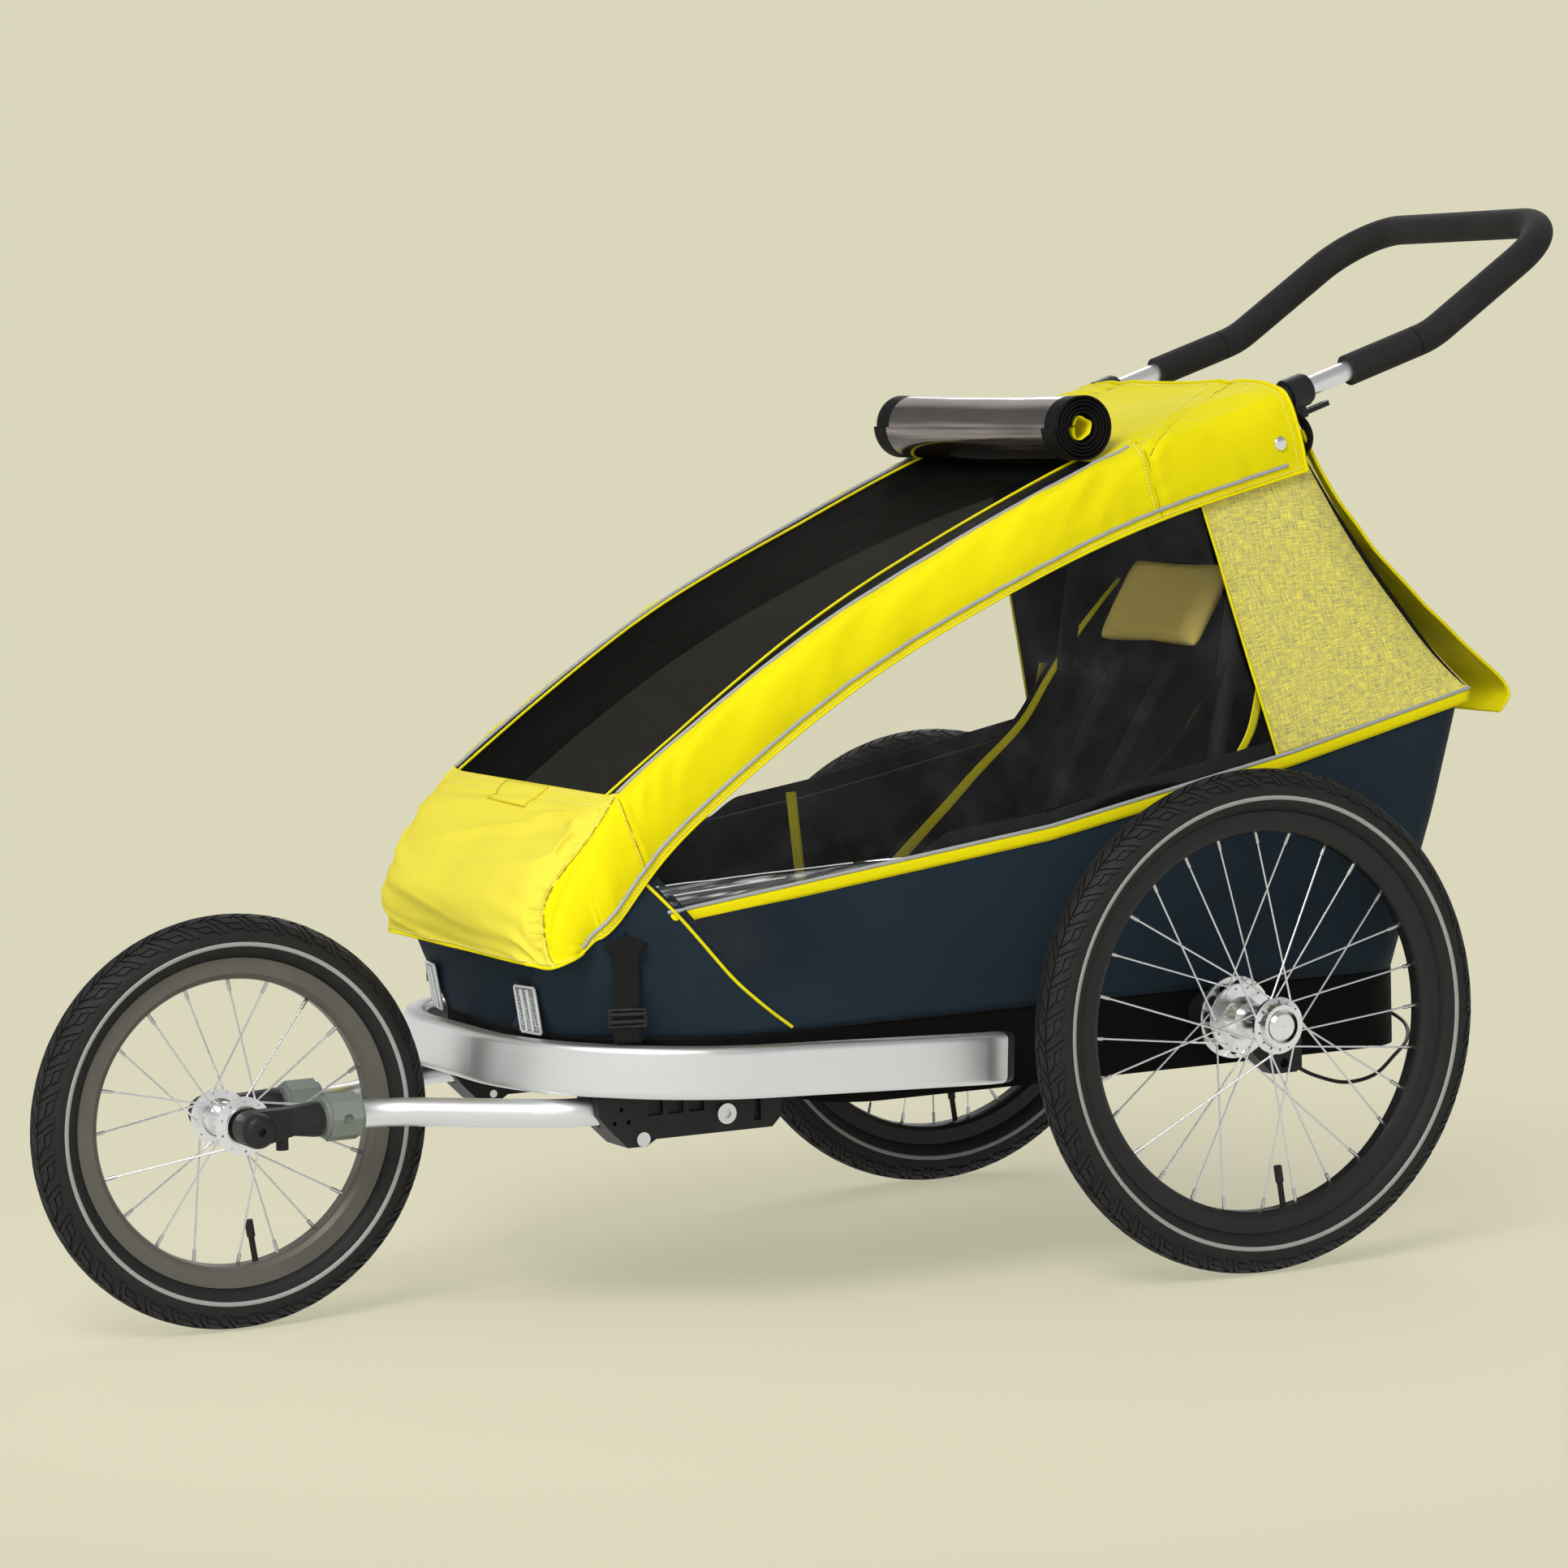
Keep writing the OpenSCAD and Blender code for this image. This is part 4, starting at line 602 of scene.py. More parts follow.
def ring_tree():
    """Copies of one shape, turned about the wheel's axle."""
    tree, have = tree_with("ring", ("Count", "Int"), ("Start", "Float"), ("Centre", "Vector"),
                           ("Material", "Material"))
    points = add(tree, "GeometryNodePoints", {"Count": have["Count"]})
    index = add(tree, "GeometryNodeInputIndex")
    angle = index * (2 * math.pi) / have["Count"] + have["Start"]
    turn = add(tree, "ShaderNodeCombineXYZ", {1: angle})
    made = add(tree, "GeometryNodeInstanceOnPoints", {
        "Points": points, "Instance": have["Geometry"], "Rotation": turn})
    made = add(tree, "GeometryNodeTransform", {"Geometry": made, "Translation": have["Centre"]})
    return close_tree(tree, made, have["Material"])


TREES = {}


def grown(name, tree, mesh, **values):
    """What a geometry tree makes of a mesh, as a plain piece."""
    seed = linked(name + "_seed", mesh)
    modifier = seed.modifiers.new("nodes", "NODES")
    modifier.node_group = TREES[tree]
    for item in TREES[tree].interface.items_tree:
        if item.in_out == "INPUT" and item.name in values:
            modifier[item.identifier] = values[item.name]
    made = made_mesh(seed)
    made.name = name
    bpy.data.objects.remove(seed)
    bpy.data.meshes.remove(mesh)
    if not made.polygons:
        raise RuntimeError(f"{name}: the tree made no faces")
    return linked(name, made)


# Meshes

def linked(name, data):
    """An object of the scene around its data."""
    made = bpy.data.objects.new(name, data)
    bpy.context.scene.collection.objects.link(made)
    return made


def new_mesh(name, points, faces, edges=()):
    """A mesh from points in metres."""
    mesh = bpy.data.meshes.new(name)
    mesh.from_pydata([tuple(p) for p in points], edges, faces)
    return mesh


def made_mesh(piece):
    """What a piece's modifiers make of it, as a new mesh."""
    return bpy.data.meshes.new_from_object(piece.evaluated_get(bpy.context.evaluated_depsgraph_get()))


def coordinates(mesh):
    """Coordinates of a mesh's points, all in one row."""
    row = np.empty(3 * len(mesh.vertices))
    mesh.vertices.foreach_get("co", row)
    return row


def smooth(mesh):
    """Shades all faces smooth."""
    mesh.polygons.foreach_set("use_smooth", [True] * len(mesh.polygons))


def line_mesh(name, lines):
    """Lines of points in millimetres as loose edges."""
    points, edges = [], []
    for line in lines:
        start = len(points)
        points += list(metres(line))
        edges += [(k, k + 1) for k in range(start, len(points) - 1)]
    return new_mesh(name, points, [], edges)


def piping(name, lines, radius, material, sides=8):
    """Round piping, in millimetres."""
    return grown(name, "piping", line_mesh(name, lines),
                 Radius=radius / 1000, Sides=sides, Material=finish(material))


def stitches(name, lines, pitch, material, thread=0.45):
    """Sewn lines, in millimetres."""
    return grown(name, "stitches", line_mesh(name, lines),
                 Pitch=pitch / 1000, Thread=thread / 1000, Material=finish(material))


def face_out(mesh, merge=False):
    """Turns the faces of a closed mesh outwards; points that meet may be merged first."""
    bm = bmesh.new()
    bm.from_mesh(mesh)
    if merge:
        bmesh.ops.remove_doubles(bm, verts=bm.verts, dist=1e-6)
    bmesh.ops.recalc_face_normals(bm, faces=bm.faces)
    bm.to_mesh(mesh)
    bm.free()


def ring_faces(rings, count, steps):
    """Faces from ring to ring of count points; as many steps as rings lead back to the first ring."""
    faces = []
    for k in range(steps):
        low, high = k * count, (k + 1) % rings * count
        faces += [[low + j, low + (j + 1) % count, high + (j + 1) % count, high + j] for j in range(count)]
    return faces


def solid(name, points, faces, material):
    """A piece from points in millimetres and faces."""
    mesh = new_mesh(name, metres(points), faces)
    face_out(mesh, merge=True)
    smooth(mesh)
    mesh.materials.append(finish(material))
    return linked(name, mesh)


def sheet(name, grid, materials, keep=None, pick=None, wall=1.0, flip=False, inside=None):
    """Cloth from a grid of points in millimetres: its cut is kept as a map.

    Cells may be left out, and each may have its own finish.
    """
    rows, cols = grid.shape[:2]
    across, along = spans(grid)
    cut = np.stack([across, along], -1) / 1000
    faces, places, kinds = [], [], []
    for i in range(rows - 1):
        for j in range(cols - 1):
            if keep is None or keep[i, j]:
                ring = [(i, j), (i + 1, j), (i + 1, j + 1), (i, j + 1)]
                ring = ring[::-1] if flip else ring
                faces.append([a * cols + b for a, b in ring])
                places += ring
                kinds.append(0 if pick is None else int(pick[i, j]))
    used = sorted({k for f in faces for k in f})
    new = {k: n for n, k in enumerate(used)}
    flat = grid.reshape(-1, 3)
    mesh = new_mesh(name, metres(flat[used]), [[new[k] for k in f] for f in faces])
    layer = mesh.uv_layers.new(name="cut")
    layer.data.foreach_set("uv", np.array([cut[a, b] for a, b in places], np.float32).ravel())
    for label in materials:
        mesh.materials.append(finish(label))
    if inside:
        mesh.materials.append(finish(inside))
    mesh.polygons.foreach_set("material_index", kinds)
    smooth(mesh)
    piece = linked(name, mesh)
    if wall:
        thick = piece.modifiers.new("wall", "SOLIDIFY")
        thick.thickness, thick.offset, thick.use_even_offset = wall / 1000, -1, False
        if inside:
            thick.material_offset = len(materials)
    return piece


def surface_of(piece):
    """A tree for finding points on a piece."""
    points = [v.co.copy() for v in piece.data.vertices]
    return BVHTree.FromPolygons(points, [list(p.vertices) for p in piece.data.polygons])


def on_side(tree, line, side, lift):
    """Points of the side plane put on a surface, seen from the side, in millimetres."""
    out = []
    for x, z in line:
        start = Vector(metres([x, side * 600, z]))
        hit = tree.ray_cast(start, Vector((0, -side, 0)))[0]
        if hit is None:
            raise RuntimeError(f"nothing at x {x}, z {z} on side {side}")
        out.append([x, 1000 * hit.y + side * lift, z])
    return np.array(out)


def fixed(piece, body, slot=None, *nodes):
    """A piece that rides on a body, hiding the nodes it stands for; the slot is not used."""
    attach(piece, body)
    if nodes:
        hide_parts(*nodes)
    return piece


def folding(piece, slot=None, *nodes):
    """A soft piece on the chassis, with a mesh of its own."""
    fixed(piece, CHASSIS, slot, *nodes)
    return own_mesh(piece)


def laid_cloth(name, grid, material, body, slot, held, rests_on, *nodes, **form):
    """Cloth of one finish, with its flat cut kept as a map; on the chassis it gets a mesh of its own."""
    piece = sheet(name, grid, [material], **form)
    if body == CHASSIS:
        folding(piece, slot, *nodes)
    else:
        fixed(piece, body, slot, *nodes)
    return piece


def dress(material, *nodes):
    """A finish on CAD nodes whose shape stays."""
    for node in nodes:
        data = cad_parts[node].data
        data.materials.clear()
        data.materials.append(finish(material))


# The cover

def cover(t, s):
    """Points of the roof cover at stations t, from rear to nose, and places s, from left to right."""
    t, s = np.broadcast_arrays(np.asarray(t, float), np.asarray(s, float))
    right = s > LAST / 2
    c = spline(SECTION, np.where(right, LAST - s, s))
    low, top, mid = spline(LOW_EDGE, t), spline(TOP_EDGE, t), spline(MID_LINE, t)
    p = low + c[..., :1] * (top - low) + c[..., 2:] * (mid - top)
    # The corners of the nose are drawn in.
    y = c[..., 1] - 8 * np.clip(t - 5, 0, 1) * np.clip((c[..., 1] - 150) / 40, 0, 1)
    return np.stack([p[..., 0], np.where(right, -y, y), p[..., 1]], -1)


def outward(shape, t, s, step):
    """Normals of a shape of the cover, not yet of unit length."""
    a = shape(np.clip(t + step, 0, END_T), s) - shape(np.clip(t - step, 0, END_T), s)
    b = shape(t, np.clip(s + step, 0, LAST)) - shape(t, np.clip(s - step, 0, LAST))
    return np.cross(b, a)


def lifted(line, lift, side=1):
    """Points a little above the cover along a line of stations and places."""
    line = np.array(line, float)
    t, s = line[:, 0], line[:, 1]
    s = s if side > 0 else LAST - s
    n = outward(dressed_cover, t, s, 0.01)
    return dressed_cover(t, s) + lift * n / np.linalg.norm(n, axis=-1, keepdims=True)


def on_both(line, lift):
    """Points above the cover along a line on the left and on the right."""
    return [lifted(line, lift, side) for side in (1, -1)]


def lengthwise(place, start, end, count):
    """Line of stations along one place of the cover."""
    return np.stack([np.linspace(start, end, count), np.full(count, place)], -1)


def crosswise(station, start, end, count):
    """Line of places across one station of the cover."""
    return np.stack([np.full(count, station), np.linspace(start, end, count)], -1)


def from_line(t, s, line):
    """Rough distance from a seam, given on the left and mirrored, and the way along it, in millimetres."""
    s = np.where(s > LAST / 2, LAST - s, s)
    best, way = np.full(np.shape(t), 1e9), np.zeros(np.shape(t))
    seam = run(line, 80) * [STATION, PLACE]
    gone = np.concatenate([[0], np.cumsum(np.linalg.norm(np.diff(seam, axis=0), axis=1))])
    for (a, b), far in zip(seam, gone):
        apart = (t * STATION - a) ** 2 + (s * PLACE - b) ** 2
        way = np.where(apart < best, far, way)
        best = np.minimum(best, apart)
    return np.sqrt(best), way


def cover_folds(t, s):
    """How far the cloth of the cover stands out of its plain form, in millimetres."""
    half = np.where(s > LAST / 2, LAST - s, s)
    x, y, up = t * STATION, s * PLACE, half * PLACE
    open_part = soft_step(t, 1.0, 1.4) * soft_step(-t, -4.35, -4.05)
    # Soft waves all over, slanted creases in the side bands and small waves along the lower edge.
    soft = 1.5 * ripple(x / 110, y / 80, 3) + 0.5 * ripple(x / 26, y / 30, 4)
    slant = (x + 1.1 * up) / 40 + 0.6 * ripple(x / 90, up / 60, 13)
    band = 3.4 * open_part * bell(half - 3.1, 1.5) * crease(slant, up / 130, 5)
    lower = 0.9 * bell(half - 0.7, 0.6) * ripple(x / 13, half * 0.5, 6)
    # Gathers that fan out below the hem of the nose.
    hang = soft_step(t, 4.45, 4.56) * soft_step(-t, -6.0, -4.7) * soft_step(half, 4.2, 5.0)
    fan = y / (24 + 26 * np.clip(t - 4.5, 0, 1)) + 0.6 * ripple(x / 40, y / 50, 14)
    gather = 4.6 * hang * crease(fan, x / 150, 7)
    # Creases drawn across the nose, and others pulled towards the rear corners.
    drawn = 4.2 * soft_step(t, 4.6, 5.1) * bell(half - 6.4, 2.6)
    drawn = drawn * crease((x + 1.3 * y) / 58, (x - y) / 210, 8)
    pulled = 4.4 * bell(t - 0.5, 0.5) * soft_step(half, 0.7, 2.6)
    pulled = pulled * crease((x - 0.8 * up) / 54, (x + up) / 150, 9)
    # Close tucks below the top of the side bands.
    close = (x + 0.9 * up) / 17 + 0.5 * ripple(x / 60, up / 30, 16)
    tucks = 1.5 * open_part * bell(half - 3.55, 0.42) * crease(close, up / 80, 17)
    flat = soft + band + lower + gather + drawn + pulled + tucks
    # Folds die out at the edges; along a seam the cloth dips, and it puckers beside it.
    edge = np.minimum(soft_step(half, 0.0, 0.35) + 0.15, 1) * np.minimum(soft_step(-t, -7.0, -6.8) + 0.25, 1)
    open_edge = 1 - bell(half - BAND_TOP, 0.25) * soft_step(t, 1.2, 1.3) * soft_step(-t, -4.3, -4.2)
    for seam, pucker, pitch in ((ROOF_SEAM, 1.2, 17), (BAND_SEAM, 0.6, 15), (CORNER_SEAM, 2.4, 15),
                                (GUSSET_SEAM, 0.5, 15)):
        away, along = from_line(t, s, seam)
        flat = flat * soft_step(away, -4, 9) - 1.3 * bell(away, 3.0) + 0.8 * bell(away - 7, 5)
        inner = soft_step(np.where(seam is CORNER_SEAM, half - 3.6, 1.0), 0.0, 0.8)
        flat = flat + pucker * inner * bell(away - 10, 10) * ripple(along / pitch * 2, away / 90, 15)
    # Hems are double cloth.
    nose_hem = soft_step(-t, -4.5, -4.47) * (t > NOSE_T) * (half > 4.3)
    hem = 0.9 * (soft_step(t, 6.82, 6.86) + soft_step(-half, -0.36, -0.32) + nose_hem)
    return flat * edge * open_edge + np.minimum(hem, 0.9)


def dressed_cover(t, s):
    """The cover with its folds and seams."""
    t, s = np.broadcast_arrays(np.asarray(t, float), np.asarray(s, float))
    n = outward(cover, t, s, 0.02)
    n /= np.linalg.norm(n, axis=-1, keepdims=True)
    return cover(t, s) + n * cover_folds(t, s)[..., None]


# The tub

def outline(corners):
    """Closed outline from corners of the left side: x, half width and corner radius."""
    left = []
    for k, (x, y, r) in enumerate(corners):
        if r == 0:
            left.append([x, y])
            continue
        first, inward = (0, -r) if k == 0 else (90, r)
        for a in np.radians(np.linspace(0, 90, 13) + first):
            left.append([x + inward + r * math.cos(a), y - r + r * math.sin(a)])
    left = np.array(left)
    return np.vstack([left, left[::-1] * [1, -1]])


def rim_height(x):
    """Top of the tub: the belt on its sides, tucked under the nose in front."""
    nose = np.minimum(430, 452 - 0.75 * (x - TUB_NOSE))
    return np.where(x > TUB_NOSE, nose, lookup(x, BELT)) - 0.6


def tub_grid():
    """Points of the tub wall, round its outline and from its rim down."""
    levels, bulge = 23, 3
    low, high = outline(TUB_LOW), outline(TUB_HIGH)
    many = np.linspace(0, len(low) - 1, 2 * len(low) - 1)

    def closed(line):
        """The outline with a point between every two, back to its start."""
        dense = np.stack([np.interp(many, np.arange(len(line)), line[:, k]) for k in range(2)], -1)
        return np.vstack([dense, line[:1]])

    low, high = closed(low), closed(high)
    f = np.linspace(1, 0, levels)[None, :, None]
    p = low[:, None] + f * (high - low)[:, None]
    f = f[..., 0]
    y = p[..., 1] + np.sign(p[..., 1]) * (bulge * np.sin(np.pi * f))
    z = TUB_FLOOR + f * (rim_height(high[:, 0])[:, None] - TUB_FLOOR)
    return np.stack([p[..., 0], y, z], -1)


# Settings

def colour_setting(name, about, default):
    return FloatVectorProperty(name=name, description=about, subtype="COLOR", default=default, min=0, max=1)


def length_setting(name, about, default):
    return FloatProperty(name=name, description=about + " in millimetres", default=default, min=2, max=8)


def count_setting(name, about, default, low, high):
    return IntProperty(name=name, description=about, default=default, min=low, max=high)


class TrailerLooks(bpy.types.PropertyGroup):
    """Colours and sizes that a user may change."""
    yellow: colour_setting("Yellow cloth", "Colour of the roof cover", (0.715, 0.63, 0.0035))
    lemon: colour_setting("Lemon cloth", "Colour of the nose panel", (0.70, 0.61, 0.055))
    navy: colour_setting("Navy cloth", "Colour of the tub", (0.0105, 0.020, 0.0305))
    # The headrest's tan is much lighter than its cloth: painted light for the shaded inside of the tub.
    tan: colour_setting("Tan cloth", "Colour of the headrest", (0.93, 0.73, 0.20))
    silver: colour_setting("Silver tube", "Colour of the bumper and arms", (0.85, 0.86, 0.86))
    backdrop: colour_setting("Backdrop", "Colour of the floor and the background", (0.708, 0.680, 0.503))
    stitch_pitch: length_setting("Stitch pitch", "Distance from stitch to stitch", 3.6)
    stripe_width: length_setting("Tyre stripe", "Width of the pale ring on a tyre", 4.2)
    rear_blocks: count_setting("Rear tread", "Tread blocks round a rear tyre", 50, 40, 90)
    front_blocks: count_setting("Front tread", "Tread blocks round the front tyre", 40, 30, 80)


def looks():
    return bpy.context.scene.trailer_looks


# Operators

class TRAILER_OT_finishes(bpy.types.Operator):
    """Make every material and geometry tree"""
    bl_idname = "trailer.finishes"
    bl_label = "Finishes"

    def execute(self, context):
        have = looks()
        yellow, lemon, navy, tan = (tuple(c) for c in (have.yellow, have.lemon, have.navy, have.tan))
        # Cloth and metal: colour, roughness. Coats: colour, roughness, grain, share of metal, clear coat.
        FINISHES.update(
            yellow=woven("yellow_cloth", yellow),
            lemon=woven("lemon_cloth", lemon, crease=1.3),
            navy=woven("navy_cloth", navy, 0.75, crease=0.8, worn=0.2, gloss=0.12),
            black=woven("black_cloth", (0.006, 0.006, 0.006), 0.6, crease=1.4, worn=0.25, relief=0.0),
            seat=woven("seat_cloth", (0.005, 0.005, 0.005), 0.8, crease=1.2, worn=0.2, relief=0.0),
            # Tan much lighter than the cloth: painted light on the shaded headrest.
            tan=woven("tan_cloth", tan, 0.85, thread=0.0016, crease=0.6),
            melange=melange("melange_cloth", (0.80, 0.71, 0.11), (0.31, 0.30, 0.15)),
            net=netting("black_net", (0.002, 0.002, 0.002)),
            clear=film("clear_film", 0.3),
            # The film that bags out is the clear film made to mirror far more, with streaks: painted
            # highlights.
            slack=film("slack_film", 4.0, streaks=True),
            # The rolled film's pale and dark brown colours are a painted reflection: pale where the roll faces
            # up, dark brown where it faces down.
            tinted=mirror_film("tinted_film", (0.40, 0.34, 0.31), (0.030, 0.019, 0.012),
                               axis_z=ROLL_Z / 1000, radius=0.033),
            silver=metal("satin_silver", tuple(have.silver), 0.42, streak=(9, 9, 420), worn=0.03),
            polished=metal("polished_alloy", (0.86, 0.86, 0.86), 0.2, streak=(60, 60, 60)),
            steel=metal("bright_steel", (0.74, 0.74, 0.74), 0.28, streak=(80, 80, 80)),
            dark_tube=coated("dark_tube", (0.022, 0.022, 0.024), 0.45, 700.0, 0.3),
            black_rim=coated("black_rim", (0.017, 0.017, 0.0165), 0.36, 900.0, 0.2),
            dark_rim=coated("dark_rim", (0.11, 0.105, 0.09), 0.4, 900.0, 0.35),
            rubber=rubber("tyre_rubber", (0.010, 0.010, 0.010)),
            plastic=coated("black_plastic", (0.013, 0.013, 0.0135), 0.45, 1200.0),
            grey=coated("grey_plastic", (0.165, 0.185, 0.172), 0.5, 1200.0),
            red=coated("red_plastic", (0.42, 0.015, 0.012), 0.4, 1200.0),
            lens=prisms("clear_prisms", (0.42, 0.43, 0.44)),
            red_lens=prisms("red_prisms", (0.5, 0.012, 0.012)),
            foam=foam("black_foam", (0.015, 0.015, 0.0155)),
            web=webbing("black_web", (0.006, 0.006, 0.006)),
            cable=coated("cable_sleeve", (0.012, 0.012, 0.012), 0.4, 1500.0),
            tape=glowing("grey_tape", (0.33, 0.335, 0.33), 0.4),
            pane=coated("clear_plastic", (0.48, 0.49, 0.50), 0.15, 1500.0, 0.0, 0.8),
            stripe=glowing("tyre_stripe", (0.30, 0.31, 0.305), 0.4),
            # The tray is a darker copy of the black cloth: painted shade of the tub's floor.
            tray=woven("tray_cloth_painted_shade", (0.004, 0.004, 0.004), 0.7, relief=0.0),
            seam=coated("seam_shadow", shade(yellow, 0.35), 0.8, 2000.0),
            ribbon=webbing("yellow_ribbon", shade(yellow, 0.8)),
            thread=coated("yellow_thread", shade(yellow, 0.9), 0.6, 2000.0),
            pale_thread=coated("pale_thread", (0.74, 0.68, 0.2), 0.6, 2000.0),
            dark_thread=coated("black_thread", (0.02, 0.02, 0.02), 0.6, 2000.0),
        )
        for wheel, (x, _, radius) in WHEELS:
            FINISHES[wheel + "_spokes"] = spoke_metal(
                wheel + "_spoke_steel", AXLE_X + x / 1000, radius / 1000, (radius - NIPPLE_DEPTH) / 1000)
        TREES.update(piping=piping_tree(), stitches=stitch_tree(), ring=ring_tree())
        return {"FINISHED"}


class TRAILER_OT_stage(bpy.types.Operator):
    """Set up the camera, the lights, the floor and the background"""
    bl_idname = "trailer.stage"
    bl_label = "Stage"

    def execute(self, context):
        scene = context.scene
        scene.view_settings.view_transform = "Standard"
        yaw, pitch, roll = (math.radians(a) for a in CAMERA_ANGLES)
        ahead = Vector((math.cos(pitch) * math.cos(yaw), math.cos(pitch) * math.sin(yaw), math.sin(pitch)))
        across = ahead.cross(Vector((0, 0, 1))).normalized()
        up = across.cross(ahead)
        right = math.cos(roll) * across + math.sin(roll) * up
        top = -math.sin(roll) * across + math.cos(roll) * up
        data = bpy.data.cameras.new("photo_view")
        data.sensor_width, data.lens = SENSOR, SENSOR * CAMERA_FOCAL / CAMERA_WIDTH
        data.clip_start, data.clip_end = 0.1, 200
        camera = linked("photo_view", data)
        spot = metres(CAMERA_SPOT)
        rows = [[right[k], top[k], -ahead[k], spot[k]] for k in range(3)]
        camera.matrix_world = Matrix(rows + [[0, 0, 0, 1]])
        scene.camera = camera
        self.light()
        self.floor()
        return {"FINISHED"}

    def light(self):
        """A soft surround, a large key light from the front left above, and a rim light behind."""
        backdrop = (*looks().backdrop, 1)
        world = bpy.data.worlds.new("studio")
        world.use_nodes = True
        tree = world.node_tree
        seen, mirrored = rays(tree)
        around = tree.nodes["Background"]
        around.inputs["Color"].default_value = (1, 1, 1, 1)
        around.inputs["Strength"].default_value = SURROUND
        way = add(tree, "ShaderNodeTexCoord")
        height = add(tree, "ShaderNodeSeparateXYZ", {0: way}, out=2)
        level = (1.15 - height * 1.3).within(0.4, 1.05)
        bright = add(tree, "ShaderNodeBackground", {"Color": PALE, "Strength": level})
        shown = add(tree, "ShaderNodeBackground", {"Color": backdrop, "Strength": 1.0})
        mix = add(tree, "ShaderNodeMixShader", {0: mirrored, 1: Wire(tree, around.outputs[0]), 2: bright})
        mix = add(tree, "ShaderNodeMixShader", {0: seen, 1: mix, 2: shown})
        tree.links.new(mix.socket, tree.nodes["World Output"].inputs[0])
        bpy.context.scene.world = world
        for name, place, size, power in LAMPS:
            lamp = bpy.data.lights.new(name, "AREA")
            lamp.size, lamp.energy = size, power
            light = linked(name, lamp)
            light.location = place
            light.visible_glossy = name in ("key", "rim")
            light.rotation_euler = (AIM - Vector(place)).to_track_quat("-Z", "Y").to_euler()

    def floor(self):
        """A wide pale floor that keeps a soft shadow near the wheels and fades into the background."""
        corners = [(FLOOR_END * a, FLOOR_END * b, 0) for a, b in ((-1, -1), (1, -1), (1, 1), (-1, 1))]
        mesh = new_mesh("floor", corners, [(0, 1, 2, 3)])
        floor = linked("floor", mesh)
        backdrop = (*looks().backdrop, 1)
        f = Finish("floor", Base_Color=backdrop, Roughness=0.9)
        _, (x, y, _) = f.place()
        far = ((x * x + y * y).math("SQRT") - 0.6) * 0.55
        share = far.within(0.0, 0.4) + 0.6
        seen, mirrored = rays(f.tree)
        plain = f.node("ShaderNodeEmission", {"Color": backdrop, "Strength": 1.0})
        bright = f.node("ShaderNodeEmission", {"Color": PALE, "Strength": 1.0})
        lit = Wire(f.tree, f.shader.outputs[0])
        mix = f.node("ShaderNodeMixShader", {0: mirrored * 0.8, 1: lit, 2: bright})
        f.close(f.node("ShaderNodeMixShader", {0: share * seen, 1: mix, 2: plain}))
        mesh.materials.append(f.material)


class TRAILER_OT_cables(bpy.types.Operator):
    """Lay the two brake cables"""
    bl_idname = "trailer.cables"
    bl_label = "Brake cables"

    def execute(self, context):
        for side, label in SIDES:
            route = metres(run(CABLE, 55) * [1, side, 1])
            data = bpy.data.curves.new(label + "_brake_cable", "CURVE")
            data.dimensions, data.use_fill_caps = "3D", True
            data.bevel_depth, data.bevel_resolution = 0.002, 3
            line = data.splines.new("POLY")
            line.points.add(len(route) - 1)
            for point, place in zip(line.points, route):
                point.co = (*place, 1)
            data.materials.append(finish("cable"))
            cable = linked(label + "_brake_cable", data)
            fixed(cable, CHASSIS, "cable_sleeve", "brake_cables")
        return {"FINISHED"}


class TRAILER_OT_metalwork(bpy.types.Operator):
    """Give the rigid parts of the frame their finishes"""
    bl_idname = "trailer.metalwork"
    bl_label = "Frame and fittings"

    def execute(self, context):
        for material, nodes in FINISH_OF.items():
            dress(material, *nodes.split())
        self.front_reflectors()
        return {"FINISHED"}

    def front_reflectors(self):
        """Two clear reflectors on the tub's front: a rounded frame, a lens of small prisms and two ribs."""
        turn = Matrix.Rotation(LENS_SWING, 3, "Z") @ Matrix.Rotation(LENS_LEAN, 3, "Y")
        y, z = crossed((-15, 15, 25), (-21, 21, 35))
        tip = (np.arange(25)[:, None] % 2) * (np.arange(35)[None, :] % 2)
        rim_y = np.array([-15, 15, 16.5, 16.5, 15, -15, -16.5, -16.5, -15])
        rim_z = np.array([-22.8, -22.8, -21, 21, 22.8, 22.8, 21, -21, -22.8])

        def put(side, a, b, c):
            return (points_of(a, b, c).astype(float) @ np.array(turn).T + LENS_PLACE) * [1, side, 1]

        for side, label in SIDES:
            face = put(side, 4.4 + 0.9 * tip, y, z)
            lens = sheet(f"{label}_front_lens", face, ["lens"], wall=3.6, flip=side < 0)
            folding(lens, "clear_lens", *(["front_reflectors"] if side > 0 else []))
            ring = put(side, 3.6, rim_y, rim_z)
            ribs = [put(side, 4.8, np.array([k, k]), np.array([-21, 21])) for k in (-5.2, 5.2)]
            folding(piping(f"{label}_front_lens_frame", [ring, *ribs], 1.7, "pane"), "clear_lens")


